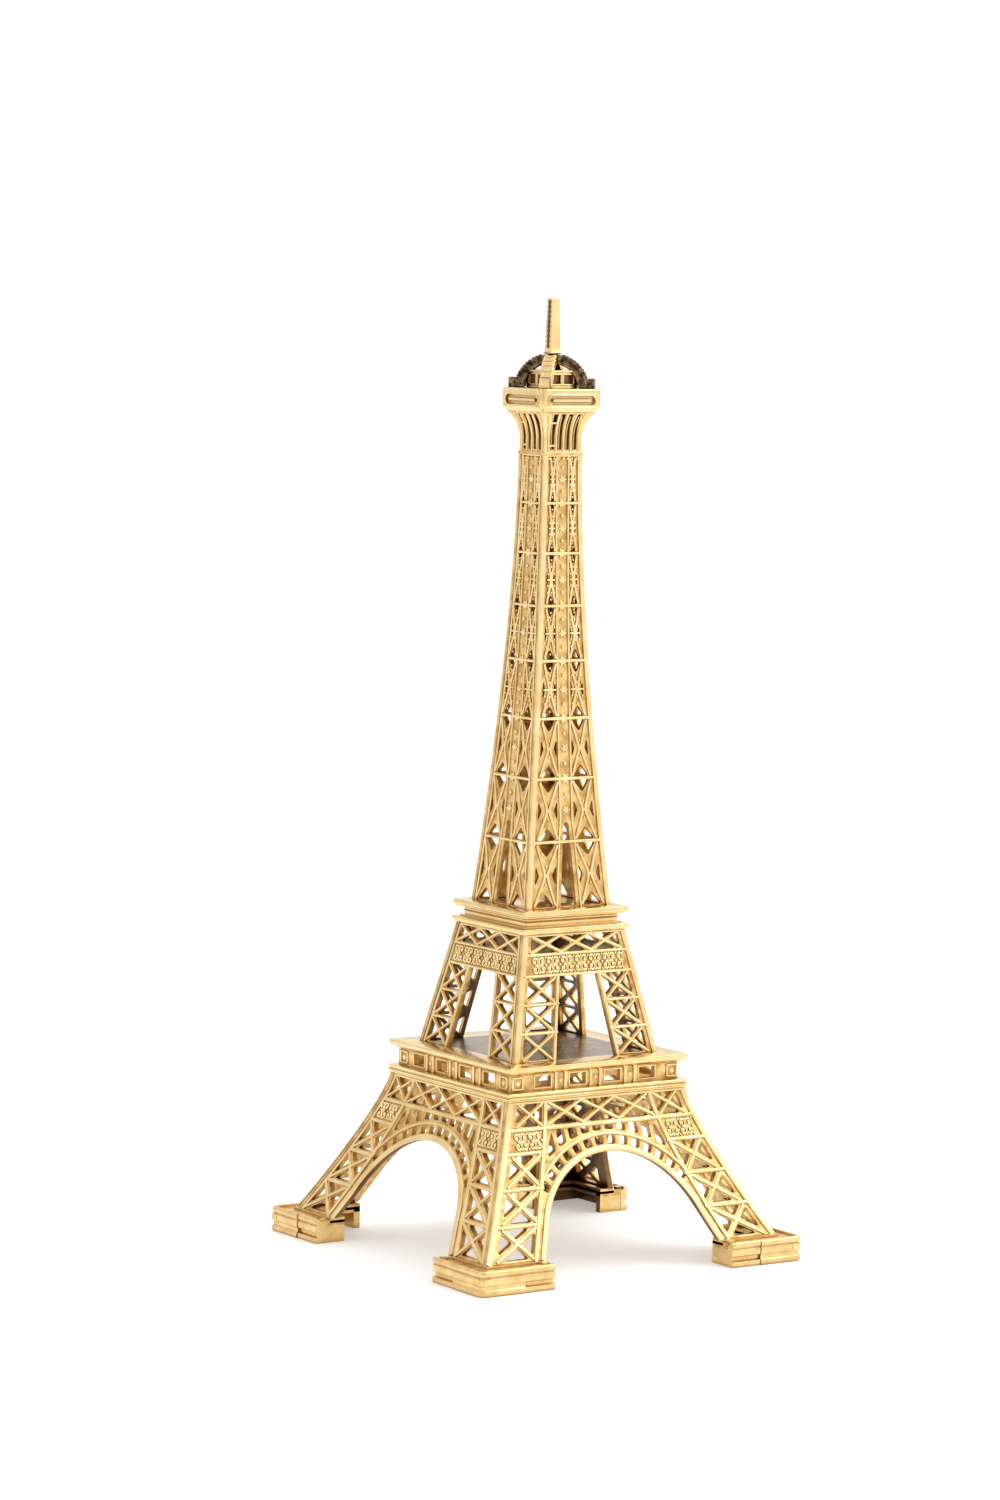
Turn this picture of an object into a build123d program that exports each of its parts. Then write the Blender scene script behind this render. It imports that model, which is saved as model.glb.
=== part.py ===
from build123d import *

import os
from math import cos, degrees, hypot, radians, sin, sqrt, tan

# A miniature lattice tower in cast metal: four splayed legs joined by arches, a first deck with
# a windowed gallery, a straight middle stage, a second deck, a slender curved spire, and a small
# cupola with an antenna. Millimetres, +Z up, origin at the centre of the square that it stands on.
# The front face looks along -Y. Front and rear panels run the full width of the tower, and the
# side panels fit between them.

# Fits between pieces
seam = 0.03  # gap where two panels meet at a corner
fit_gap = 0.1  # play of a tenon in its slot, on each side
tenon_thick = 0.6
tenon_end_gap = 0.1  # play left at the bottom of a blind slot

# Feet
foot_height = 4.0
foot_overhang = 3.1  # how far a foot stands out beyond the panels on it
foot_ledge = 5.6  # depth of the top plate, from the outer face inwards
foot_end_inset = 0.45  # a foot ends this far back from the inner face of its leg
foot_skin = 1.3
foot_end_step = 0.4  # how far the end of a foot is set back
foot_end_length = 5.5
foot_groove_low = 1.0  # height of the groove that runs round the outer faces
foot_groove_height = 0.7
foot_groove_depth = 0.4
foot_line_low = 2.95  # height of the fine line under the rim
foot_line = 0.25  # width and depth of the fine lines
foot_block = 2.4  # length of the square block at the corner

# Lower stage: legs, arches and belt
lower_height = 22.6
lower_half_base = 27.4
lower_half_top = 16.8
lower_curve = 1.21  # power of the legs' outward sweep, 1 being straight
lower_thick = 1.2
lower_leg_top = 7.4  # width of a leg on one face, under the cornice
lower_corner = 1.3  # width of the corner strip
lower_chord = 0.9
lower_rail = 0.7  # height of a horizontal bar
lower_brace = 0.85
lower_cells = 3
belt_height = 4.1  # lattice belt under the cornice, its two rails included
belt_cells = 3
belt_brace = 0.6
scroll_band = 3.4  # plain band of each leg beside the arch, for the scrollwork

# Arch of the lower stage
arch_radius = 15.3
arch_spring = 25.0  # degrees above level at which the arch turns straight
arch_rim = 1.1
arch_foot_rim = 1.47  # width of the rim beside the inner chord, at the foot
arch_ring = 1.25  # height of the row of radial openings
arch_back = 0.85  # band above the radial openings
ring_pitch = 2.17  # along the arch
ring_width = 1.4
slot_pitch = 2.3
slot_width = 1.5
slot_height = 0.7  # at the crown of the arch
slot_shortest = 0.5
slot_flatness = 1.1  # radius of the curve that the slots stand on over that of the arch's back

# First deck
cornice_thick = 1.4
cornice_overhang = 0.4
cornice_shelf = 1.5  # width of the plate inside the gallery's walls, open beyond it
gallery_height = 2.75
gallery_setback = 1.3  # from the cornice's edge to the walls
gallery_thick = 1.0
gallery_seat = 0.4  # depth of the groove that the walls stand in
window_count = 4
window_pitch = 6.6
window_width = 3.0
window_height = 1.8
window_sill = 0.5
pilaster_width = 0.6
pilaster_proud = 0.3
pilaster_gap = 0.9
deck_thick = 1.25
deck_overhang = 1.2  # beyond the gallery's walls
plate_chamfer = 0.2

# Middle stage
middle_height = 19.3
middle_half_base = 13.6
middle_half_top = 9.6
middle_thick = 1.0
middle_opening_base = 5.7  # half-width of the opening between the legs
middle_opening_top = 3.5
middle_corner = 1.1
middle_chord = 0.8
middle_rail = 0.5
middle_brace = 0.6
middle_cells = 3
middle_band = 3.2  # plain band above the opening, for the scrollwork
middle_belt = 3.1
middle_belt_cells = 3

# Second deck
second_cornice_thick = 1.0
second_cornice_overhang = 0.65
second_step_height = 1.6
second_step_setback = 1.3  # from the edge of the plate above
second_plate_thick = 1.1
second_plate_overhang = 2.1  # beyond the foot of the spire

# Spire
spire_height = 70.6
spire_half_base = 7.95
spire_half_top = 3.6
spire_curve = 1.62
spire_thick = 0.8
spire_cells = 8
spire_cell_taper = 0.955  # height of a cell over that of the cell below it
spire_corner = 1.0
spire_rib = 2.8
spire_rail = 0.5
spire_gusset_width = 0.9  # base of a triangular opening over the width of its cell
spire_gusset_height = 0.21  # over the height of its cell
spire_notch_width = 0.18  # depth of a side opening over the width of its cell
spire_notch_height = 0.34  # over the height of its cell
spire_slit_half = 1.5  # half-width of the slit at the foot of the middle rib
spire_slit_top = 0.45
spire_slit_height = 13.0
spire_slit_chord = 1.1

# Capital, platform, cabin, cupola and antenna
capital_height = 6.8
capital_collar = 0.5  # height of the band under the flutes
capital_collar_proud = 0.1
capital_waist = 3.5
capital_lip = 5.0
capital_rib_count = 5
capital_flute_depth = 0.6
capital_flute_width = 0.8
capital_flute_margin = 0.4  # left plain above and below the flutes
capital_plug_height = 2.5
platform_height = 3.6
platform_half = 5.7
platform_corner = 0.8
platform_chamfer = 0.6
platform_groove = 0.5
groove_height = 1.6
groove_margin = 0.5  # from the platform's rounded corner to the end of the groove
groove_ridge = 0.4
cabin_share = 0.5  # width of the cabin over that of the platform
cabin_height = 2.8
cabin_wall = 0.6
cabin_window_width = 1.7
cabin_window_height = 1.4
cabin_post = 0.7
cabin_seat = 0.4
cupola_inset = 2.36  # from the platform's corner to the spring of a cupola arch
cupola_rise = 5.3
cupola_band = 1.3
cupola_width = 1.6
cupola_peg = 0.8
cupola_foot_length = 1.1
cupola_foot_height = 1.6
antenna_length = 8.7
antenna_base = 1.8
antenna_tip = 1.35
antenna_peg = 0.6  # side of the square peg under the antenna

# Heights of the pieces, from the ground up
z_lower = foot_height
z_cornice = z_lower + lower_height
z_gallery = z_cornice + cornice_thick
z_deck = z_gallery + gallery_height
z_middle = z_deck + deck_thick
z_second = z_middle + middle_height
z_second_deck = z_second + second_cornice_thick
z_spire = z_second_deck + second_step_height + second_plate_thick
z_capital = z_spire + spire_height
z_platform = z_capital + capital_height
z_cabin = z_platform + platform_height
z_antenna = z_cabin + cupola_rise

# Half-widths that follow the piece below or above
foot_half = lower_half_base + foot_overhang
cornice_half = lower_half_top + cornice_overhang
gallery_half = cornice_half - gallery_setback
deck_half = gallery_half + deck_overhang
second_cornice_half = middle_half_top + second_cornice_overhang
second_plate_half = spire_half_base + second_plate_overhang
second_step_half = second_plate_half - second_step_setback

# The arch stands under the belt, and its straight feet set the width of the legs
ring_inner = arch_radius + arch_rim
ring_outer = ring_inner + arch_ring
arch_outer = ring_outer + arch_back
slot_arc = arch_outer * slot_flatness
belt_low = z_cornice - belt_height
arch_centre = belt_low - lower_rail / 2 - slot_height - arch_outer
spring_across = arch_radius * cos(radians(arch_spring))
spring_up = arch_centre + arch_radius * sin(radians(arch_spring))
arch_foot_half = spring_across + (spring_up - z_lower) * tan(radians(arch_spring))
lower_leg_base = lower_half_base - arch_foot_half - arch_foot_rim
foot_length = foot_half - arch_foot_half - foot_end_inset

# The cupola arches stand on the platform's diagonals, and the cabin's corners make way for them
cupola_span = platform_half * sqrt(2) - cupola_inset  # half the span
cabin_half = platform_half * cabin_share
groove_length = 2 * (platform_half - platform_corner - groove_margin)

QUARTERS = {"front": 0, "right": 90, "rear": 180, "left": 270}
CORNERS = {"front_left": 0, "front_right": 90, "rear_right": 180, "rear_left": 270}
reach = 2 * foot_half  # longer than any cut needs


# Outlines, as points (across, up) on the front face, counter-clockwise


def mirrored(outline):
    """The same outline on the other side of the tower's middle."""
    return [(-x, z) for x, z in reversed(outline)]


def centred(low_half, low, high_half, high):
    """A four-cornered cell about the tower's middle."""
    return [(-low_half, low), (low_half, low), (high_half, high), (-high_half, high)]


def inset(outline, gaps):
    """The outline with each edge moved inwards by its own gap."""
    lines = []
    for (x0, z0), (x1, z1), gap in zip(outline, outline[1:] + outline[:1], gaps):
        length = hypot(x1 - x0, z1 - z0)
        across, up = (z0 - z1) / length, (x1 - x0) / length
        lines.append((across, up, across * x0 + up * z0 + gap))
    corners = []
    for (a, b, c), (d, e, f) in zip(lines[-1:] + lines[:-1], lines):
        scale = a * e - b * d
        corners.append(((c * e - b * f) / scale, (a * f - c * d) / scale))
    return corners


def crossing(cell):
    """Where the diagonals of a four-cornered cell cross."""
    (ax, az), (bx, bz), (cx, cz), (dx, dz) = cell
    turn = (cx - ax) * (dz - bz) - (cz - az) * (dx - bx)
    share = ((bx - ax) * (dz - bz) - (bz - az) * (dx - bx)) / turn
    return (ax + share * (cx - ax), az + share * (cz - az))


def crossed(cell, brace):
    """The four openings left in a cell by two diagonal braces."""
    middle = crossing(cell)
    sides = zip(cell, cell[1:] + cell[:1])
    return [inset([start, end, middle], [0, brace / 2, brace / 2]) for start, end in sides]


def crossed_row(cell, count, brace):
    """The openings left in a wide cell by a row of crosses with no uprights between them."""
    low_left, low_right, high_right, high_left = cell

    def between(start, end, step):
        share = step / count
        return (start[0] + share * (end[0] - start[0]), start[1] + share * (end[1] - start[1]))

    low = [between(low_left, low_right, step) for step in range(count + 1)]
    high = [between(high_left, high_right, step) for step in range(count + 1)]
    half = brace / 2
    middles = [crossing([low[i], low[i + 1], high[i + 1], high[i]]) for i in range(count)]
    holes = [inset([high[0], low[0], middles[0]], [0, half, half])]
    holes.append(inset([low[-1], high[-1], middles[-1]], [0, half, half]))
    for i, middle in enumerate(middles):
        holes.append(inset([low[i], low[i + 1], middle], [0, half, half]))
        holes.append(inset([high[i + 1], high[i], middle], [0, half, half]))
    for i in range(1, count):
        holes.append(inset([low[i], middles[i], high[i], middles[i - 1]], [half] * 4))
    return holes


class Stage:
    """A tapering square stage, with flat facets between its levels."""

    def __init__(self, levels, half_base, half_top, curve, thick):
        self.levels = levels
        self.thick = thick
        rise = levels[-1] - levels[0]
        self.halves = [
            half_top + (half_base - half_top) * ((levels[-1] - z) / rise) ** curve for z in levels
        ]

    def half(self, z):
        """Half-width of the outer faces at a height."""
        for z0, z1, h0, h1 in zip(self.levels, self.levels[1:], self.halves, self.halves[1:]):
            if z <= z1:
                return h0 + (h1 - h0) * (z - z0) / (z1 - z0)
        return self.halves[-1]

    def edge(self, trim):
        """The right-hand edge of a panel from the bottom up, trimmed to fit its neighbours."""
        return [(half - trim, z) for z, half in zip(self.levels, self.halves)]

    def skin(self):
        """The solid band, across the whole tower, that the front panel is cut from."""
        outer = [(0, -half, z) for z, half in zip(self.levels, self.halves)]
        inner = [(0, -half + self.thick, z) for z, half in zip(self.levels, self.halves)]
        wire = Wire.make_polygon([Vector(*p) for p in outer + inner[::-1]], close=True)
        return extrude(Face(wire), amount=reach, dir=(1, 0, 0), both=True)


def drawn(outline):
    """A closed wire on the front drawing plane."""
    return Wire.make_polygon([Vector(x, 0, z) for x, z in outline], close=True)


def cut_panel(stage, border, holes):
    """A front panel: the stage's skin inside the border and outside the holes."""
    face = Face(border, [drawn(hole) for hole in holes])
    return extrude(face, amount=reach, dir=(0, -1, 0)) & stage.skin()


def block(x0, x1, y0, y1, z0, z1):
    """A box from its lowest to its highest corner."""
    return Pos((x0 + x1) / 2, (y0 + y1) / 2, (z0 + z1) / 2) * Box(x1 - x0, y1 - y0, z1 - z0)


def square(half, z0, z1):
    """A square plate about the tower's axis."""
    return block(-half, half, -half, half, z0, z1)


def around(shape):
    """Four copies of a shape made for the front face."""
    copies = [Rot(Z=angle) * shape for angle in QUARTERS.values()]
    return copies[0] + copies[1:]


def turned(name, angle, shape, built):
    """Adds a copy of a front shape, turned about the tower's axis, to the built pieces."""
    built[name] = Rot(Z=angle) * shape


def tenons(inner, half, thick, z0, z1, gap=0.0):
    """Two upright tenons of a front panel, or their slots when given a gap.

    Each is centred on the leg between its inner edge and the neighbouring panel."""
    outer = half - 2 * thick
    side = (outer - inner) / 4
    middle = (outer + inner) / 2
    depth = half - thick / 2
    play = tenon_thick / 2 + gap
    left = block(-middle - side - gap, -middle + side + gap, -depth - play, -depth + play, z0, z1)
    return left + mirror(left, Plane.YZ)


# Feet


def foot_cuts():
    """What is cut from the outer face of a foot: a step at its end, a groove and fine lines."""
    near = -foot_half
    end = near + foot_length - foot_end_length
    groove_top = foot_groove_low + foot_groove_height
    line_top = foot_line_low + foot_line
    cuts = block(end, reach, -reach, near + foot_end_step, 0, foot_height)
    for start, face in ((-reach, near), (end, near + foot_end_step)):
        cuts += block(start, reach, -reach, face + foot_groove_depth, foot_groove_low, groove_top)
        cuts += block(start, reach, -reach, face + foot_line, foot_line_low, line_top)
    beside = near + foot_block
    return cuts + block(beside, beside + foot_line, -reach, near + foot_line, groove_top, line_top)


def foot():
    """The foot under the front left leg: an L-shaped tray, open towards the tower's middle."""
    near = -foot_half
    far = near + foot_length
    ledge = near + foot_ledge
    body = block(near, far, near, far, 0, foot_height)
    body -= block(ledge, reach, ledge, reach, 0, foot_height)
    inside = near + foot_skin
    hollow_top = foot_height - foot_skin
    body -= block(inside, far - foot_skin, inside, reach, 0, hollow_top)
    body -= block(inside, reach, inside, far - foot_skin, 0, hollow_top)
    cuts = foot_cuts()
    body -= cuts
    body -= mirror(cuts, Plane(origin=(0, 0, 0), x_dir=(0, 0, 1), z_dir=(1, -1, 0)))
    return body - around(lower_tenons(z_lower - foot_skin, z_lower, fit_gap))


# Lower stage


def lower_levels():
    """The rails of a leg, then the belt's lower rail, then the top."""
    rise = (belt_low - scroll_band - z_lower) / lower_cells
    return [z_lower + rise * i for i in range(lower_cells + 1)] + [belt_low, z_cornice]


LOWER = Stage(lower_levels(), lower_half_base, lower_half_top, lower_curve, lower_thick)


def leg_width(z):
    """Width of a leg on one face at a height."""
    share = (z - z_lower) / lower_height
    return lower_leg_base + (lower_leg_top - lower_leg_base) * share


def leg_inner(z):
    """Distance from the tower's middle to the inner edge of a leg at a height."""
    return LOWER.half(z) - leg_width(z)


def leg_cell(z0, z1):
    """The clear space of the right leg between its corner strip and its inner chord."""

    def inner(z):
        return leg_inner(z) + lower_chord

    def outer(z):
        return LOWER.half(z) - lower_thick - lower_corner / 2

    return [(inner(z0), z0), (outer(z0), z0), (outer(z1), z1), (inner(z1), z1)]


def on_arch(radius, degrees):
    """A point at an angle above level about the arch's centre."""
    return (radius * cos(radians(degrees)), arch_centre + radius * sin(radians(degrees)))


def lower_border(trim):
    """The outer border of a lower panel, with the arch cut up into it."""
    edge = LOWER.edge(trim)
    right = edge[::-1] + [(arch_foot_half, z_lower), (spring_across, spring_up)]
    points = mirrored(right) + right
    corners = [Vector(x, 0, z) for x, z in points]
    edges = [Edge.make_line(start, end) for start, end in zip(corners, corners[1:])]
    crown = Vector(0, 0, arch_centre + arch_radius)
    edges.append(Edge.make_three_point_arc(corners[-1], crown, corners[0]))
    return Wire(edges)


def ring_openings():
    """The row of radial openings round the arch, out to where it meets the legs."""
    step = degrees(ring_pitch / ring_inner)
    half = degrees(ring_width / ring_inner) / 2
    holes = []
    angle = 90 - step / 2
    while True:
        high = angle + half
        low = angle - half
        ends = [(ring_inner, high), (ring_inner, low), (ring_outer, low), (ring_outer, high)]
        hole = [on_arch(radius, turn) for radius, turn in ends]
        across, up = hole[2]
        if across > leg_inner(up) + lower_chord / 2:
            return holes
        holes += [hole, mirrored(hole)]
        angle -= step


def leg_rise(across):
    """Height at which the inner edge of a leg comes this near to the tower's middle."""
    low, high = z_lower, z_cornice
    while high - low > 0.001:
        middle = (low + high) / 2
        if leg_inner(middle) > across:
            low = middle
        else:
            high = middle
    return low


def spandrel_slots():
    """The upright slots between the arch's back and the belt, the outermost cut off by the legs."""
    belt = belt_low - lower_rail / 2
    slot_centre = arch_centre + arch_outer - slot_arc
    holes = []
    middle = slot_pitch / 2
    while True:
        left, right = middle - slot_width / 2, middle + slot_width / 2
        lows = [slot_centre + sqrt(slot_arc**2 - x**2) for x in (left, right)]
        tops = [min(belt, leg_rise(x + lower_chord / 2)) for x in (left, right)]
        if tops[1] < lows[1] + slot_shortest:
            return holes
        hole = [(left, lows[0]), (right, lows[1]), (right, tops[1]), (left, tops[0])]
        holes += [hole, mirrored(hole)]
        middle += slot_pitch


def lower_openings():
    """Every opening of a lower panel."""
    holes = ring_openings() + spandrel_slots()
    rails = LOWER.levels
    gap = lower_rail / 2
    for low, high in zip(rails[:lower_cells], rails[1:]):
        for hole in crossed(leg_cell(low + gap, high - gap), lower_brace):
            holes += [hole, mirrored(hole)]
    low = rails[-2] + gap
    high = rails[-1] - gap
    for hole in crossed(leg_cell(low, high), belt_brace):
        holes += [hole, mirrored(hole)]
    belt = centred(leg_inner(low), low, leg_inner(high), high)
    return holes + crossed_row(belt, belt_cells, belt_brace)


def lower_tenons(z0, z1, gap=0.0):
    """The tenons at the feet of a lower panel."""
    inner = arch_foot_half + arch_foot_rim
    return tenons(inner, lower_half_base, lower_thick, z0, z1, gap)


def lower_top_tenons(z0, z1, gap=0.0):
    """The tenons at the top of a lower panel."""
    return tenons(lower_half_top - lower_leg_top, lower_half_top, lower_thick, z0, z1, gap)


def lower_panel(trim):
    """A front panel of the lower stage."""
    panel = cut_panel(LOWER, lower_border(trim), lower_openings())
    panel += lower_tenons(z_lower - foot_skin + tenon_end_gap, z_lower + tenon_thick)
    return panel + lower_top_tenons(z_cornice - tenon_thick, z_cornice + cornice_thick / 2)


# First deck


def first_cornice():
    """The square ring on top of the lower stage, slotted for the panels and grooved for the walls."""
    plate = square(cornice_half, z_cornice, z_gallery)
    plate = chamfer(plate.edges().group_by(Axis.Z)[0], plate_chamfer)
    plate -= square(gallery_half - gallery_thick - cornice_shelf, z_cornice, z_gallery)
    slot_top = z_cornice + cornice_thick / 2 + tenon_end_gap
    plate -= around(lower_top_tenons(z_cornice, slot_top, fit_gap))
    groove = square(gallery_half + fit_gap, z_gallery - gallery_seat, z_gallery)
    inner = gallery_half - gallery_thick - fit_gap
    return plate - (groove - square(inner, z_gallery - gallery_seat, z_gallery))


def gallery_wall(trim):
    """A front wall of the gallery: a row of windows between pairs of pilasters."""
    length = gallery_half - trim
    back = -gallery_half + gallery_thick
    wall = block(-length, length, -gallery_half, back, z_gallery - gallery_seat, z_deck)
    low = z_gallery + window_sill
    for index in range(window_count):
        middle = window_pitch * (index - (window_count - 1) / 2)
        left = middle - window_width / 2
        wall -= block(left, left + window_width, -reach, 0, low, low + window_height)
    for index in range(window_count - 1):
        middle = window_pitch * (index - (window_count - 2) / 2)
        for side in (-1, 1):
            left = middle + side * pilaster_gap - pilaster_width / 2
            face = -gallery_half - pilaster_proud
            wall += block(left, left + pilaster_width, face, -gallery_half + 0.1, z_gallery, z_deck)
    return wall


def first_deck():
    """The closed plate that the middle stage stands on."""
    plate = square(deck_half, z_deck, z_middle)
    plate = chamfer(plate.edges().group_by(Axis.Z)[-1], plate_chamfer)
    slot_floor = z_middle - deck_thick / 2 - tenon_end_gap
    return plate - around(middle_tenons(slot_floor, z_middle, fit_gap))


# Middle stage


def middle_levels():
    """The rails of a leg, then the band, the belt and the top."""
    belt = z_second - middle_belt
    rise = (belt - middle_band - z_middle) / middle_cells
    return [z_middle + rise * i for i in range(middle_cells + 1)] + [belt, z_second]


MIDDLE = Stage(middle_levels(), middle_half_base, middle_half_top, 1.0, middle_thick)


def middle_opening(z):
    """Half-width of the opening between the legs at a height."""
    share = (z - z_middle) / (MIDDLE.levels[-3] - z_middle)
    return middle_opening_base + (middle_opening_top - middle_opening_base) * share


def middle_cell(z0, z1):
    """The clear space of the right leg between its corner strip and its inner chord."""

    def inner(z):
        return middle_opening(z) + middle_chord

    def outer(z):
        return MIDDLE.half(z) - middle_thick - middle_corner / 2

    return [(inner(z0), z0), (outer(z0), z0), (outer(z1), z1), (inner(z1), z1)]


def middle_openings():
    """Every opening of a middle panel, apart from the one between its legs."""
    gap = middle_rail / 2
    holes = []
    for low, high in zip(MIDDLE.levels[:middle_cells], MIDDLE.levels[1:]):
        for hole in crossed(middle_cell(low + gap, high - gap), middle_brace):
            holes += [hole, mirrored(hole)]
    low = MIDDLE.levels[-2] + gap
    high = z_second - gap
    strip = middle_thick + middle_corner / 2
    belt = centred(MIDDLE.half(low) - strip, low, MIDDLE.half(high) - strip, high)
    return holes + crossed_row(belt, middle_belt_cells, middle_brace)


def middle_tenons(z0, z1, gap=0.0):
    """The tenons at the feet of a middle panel."""
    return tenons(middle_opening_base, middle_half_base, middle_thick, z0, z1, gap)


def middle_top_tenons(z0, z1, gap=0.0):
    """The tenons at the top of a middle panel."""
    return tenons(middle_opening_top, middle_half_top, middle_thick, z0, z1, gap)


def middle_panel(trim):
    """A front panel of the middle stage."""
    lintel = MIDDLE.levels[-3] - middle_rail / 2
    opening = [(middle_opening(z_middle), z_middle), (middle_opening(lintel), lintel)]
    right = MIDDLE.edge(trim)[::-1] + opening
    panel = cut_panel(MIDDLE, drawn(mirrored(right) + right), middle_openings())
    panel += middle_tenons(z_middle - deck_thick / 2, z_middle + tenon_thick)
    return panel + middle_top_tenons(z_second - middle_rail, z_second + second_cornice_thick / 2)


# Second deck


def second_cornice():
    """The thin plate on top of the middle stage."""
    plate = square(second_cornice_half, z_second, z_second_deck)
    slot_top = z_second + second_cornice_thick / 2 + tenon_end_gap
    return plate - around(middle_top_tenons(z_second, slot_top, fit_gap))


def second_deck():
    """The stepped plate that the spire stands on."""
    step_top = z_second_deck + second_step_height
    plate = square(second_plate_half, step_top, z_spire)
    plate = chamfer(plate.edges().group_by(Axis.Z)[-1], plate_chamfer)
    plate += square(second_step_half, z_second_deck, step_top)
    slot_floor = z_spire - second_plate_thick / 2 - tenon_end_gap
    return plate - around(spire_tenons(slot_floor, z_spire, fit_gap))


# Spire


def spire_levels():
    """The rails of the spire, closer together towards its top."""
    heights = [spire_cell_taper**index for index in range(spire_cells)]
    levels = [z_spire]
    for height in heights:
        levels.append(levels[-1] + spire_height * height / sum(heights))
    return levels


SPIRE = Stage(spire_levels(), spire_half_base, spire_half_top, spire_curve, spire_thick)


def spire_inner(z):
    """Distance from the tower's middle to the near edge of the crosses at a height."""
    share = (z - z_spire) / spire_slit_height
    if share > 1:
        return spire_rib / 2
    return spire_slit_half + (spire_slit_top - spire_slit_half) * share + spire_slit_chord


def spire_cell(z0, z1):
    """The clear space of the right column of crosses between two heights."""

    def outer(z):
        return SPIRE.half(z) - spire_thick - spire_corner / 2

    return [(spire_inner(z0), z0), (outer(z0), z0), (outer(z1), z1), (spire_inner(z1), z1)]


def gusseted(cell):
    """The openings round a broad-centred cross: a triangle on each rail, a notch at each side."""
    (ax, az), (bx, bz), (cx, cz), (dx, dz) = cell

    def at(across, up):
        left = (ax + (dx - ax) * up, az + (dz - az) * up)
        right = (bx + (cx - bx) * up, bz + (cz - bz) * up)
        return (left[0] + (right[0] - left[0]) * across, left[1] + (right[1] - left[1]) * across)

    start, end = 0.5 - spire_gusset_width / 2, 0.5 + spire_gusset_width / 2
    low, high = 0.5 - spire_notch_height / 2, 0.5 + spire_notch_height / 2
    return [
        [at(start, 0), at(end, 0), at(0.5, spire_gusset_height)],
        [at(end, 1), at(start, 1), at(0.5, 1 - spire_gusset_height)],
        [at(0, low), at(spire_notch_width, 0.5), at(0, high)],
        [at(1, low), at(1, high), at(1 - spire_notch_width, 0.5)],
    ]


def spire_openings():
    """Every opening of a spire panel."""
    low = z_spire + spire_rail / 2
    high = z_spire + spire_slit_height
    slit = centred(spire_inner(low) - spire_slit_chord, low, spire_slit_top, high)
    slit.insert(3, (0, high + spire_slit_top))
    holes = [slit]
    gap = spire_rail / 2
    for low, high in zip(SPIRE.levels, SPIRE.levels[1:]):
        for hole in gusseted(spire_cell(low + gap, high - gap)):
            holes += [hole, mirrored(hole)]
    return holes


def spire_tenons(z0, z1, gap=0.0):
    """The tenons at the feet of a spire panel."""
    return tenons(spire_slit_half + spire_slit_chord, spire_half_base, spire_thick, z0, z1, gap)


def spire_panel(trim):
    """A front panel of the spire."""
    left = mirrored(SPIRE.edge(trim))
    panel = cut_panel(SPIRE, drawn(left + mirrored(left)), spire_openings())
    return panel + spire_tenons(z_spire - second_plate_thick / 2, z_spire + tenon_thick)


# Capital, platform and cabin


def flared(outline):
    """A square solid with the same half-outline seen from every side."""
    points = [Vector(0, -half, z) for half, z in outline]
    points += [Vector(0, half, z) for half, z in reversed(outline)]
    profile = Face(Wire.make_polygon(points, close=True))
    prism = extrude(profile, amount=reach, dir=(1, 0, 0), both=True)
    return prism & (Rot(Z=90) * prism)


def capital():
    """The fluted head of the spire, with a plug that fills the top of the spire."""
    flutes = z_capital + capital_collar
    rise = capital_height - capital_collar
    flare = capital_lip - capital_waist
    shares = [(0, 0), (0, 0.4), (0.12, 0.58), (0.36, 0.76), (0.7, 0.9), (1, 1)]
    outline = [(spire_half_top + capital_collar_proud, z) for z in (z_capital, flutes)]
    outline += [(capital_waist + flare * out, flutes + rise * up) for out, up in shares]
    head = flared(outline)
    pitch = 2 * capital_waist / capital_rib_count
    for index in range(capital_rib_count - 1):
        middle = pitch * (index - (capital_rib_count - 2) / 2)
        left = middle - capital_flute_width / 2
        depth = -capital_waist + capital_flute_depth
        ends = (flutes + capital_flute_margin, z_platform - capital_flute_margin)
        head -= around(block(left, left + capital_flute_width, -reach, depth, *ends))
    plug = spire_half_top - spire_thick - fit_gap
    head += square(plug, z_capital - capital_plug_height, z_capital)
    return head + square(capital_waist, z_platform, z_platform + cabin_seat)


def top_platform():
    """The rounded block above the capital, with a ridged groove round its sides."""
    body = square(platform_half, z_platform, z_cabin)
    body = fillet(body.edges().filter_by(Axis.Z), platform_corner)
    body = chamfer(body.edges().group_by(Axis.Z)[0], platform_chamfer)
    centre = z_platform + platform_height / 2
    side = Plane((0, -platform_half, centre), x_dir=(1, 0, 0), z_dir=(0, -1, 0))
    groove = extrude(side * SlotOverall(groove_length, groove_height), amount=-platform_groove)
    ridge_length = groove_length - groove_height
    ridge = extrude(side * SlotOverall(ridge_length, groove_ridge), amount=-platform_groove)
    body -= around(groove - ridge)
    seat = square(capital_waist + fit_gap, z_platform, z_platform + cabin_seat + tenon_end_gap)
    body -= seat
    body -= square(cabin_half + fit_gap, z_cabin - cabin_seat, z_cabin)
    return body - cupola_pegs(fit_gap)


def cabin():
    """The small windowed room on the platform."""
    low = z_cabin - cabin_seat
    room = square(cabin_half, low, z_cabin + cabin_height)
    room -= square(cabin_half - cabin_wall, low, z_cabin + cabin_height - cabin_wall)
    sill = z_cabin + (cabin_height - cabin_window_height) / 2
    for side in (-1, 1):
        middle = side * (cabin_window_width + cabin_post) / 2
        left = middle - cabin_window_width / 2
        window = block(left, left + cabin_window_width, -reach, reach, sill, sill + cabin_window_height)
        room -= window
        room -= Rot(Z=90) * window
    notch = cupola_ring(fit_gap)
    return room - Rot(Z=45) * notch - Rot(Z=-45) * notch


# Cupola and antenna


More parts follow.
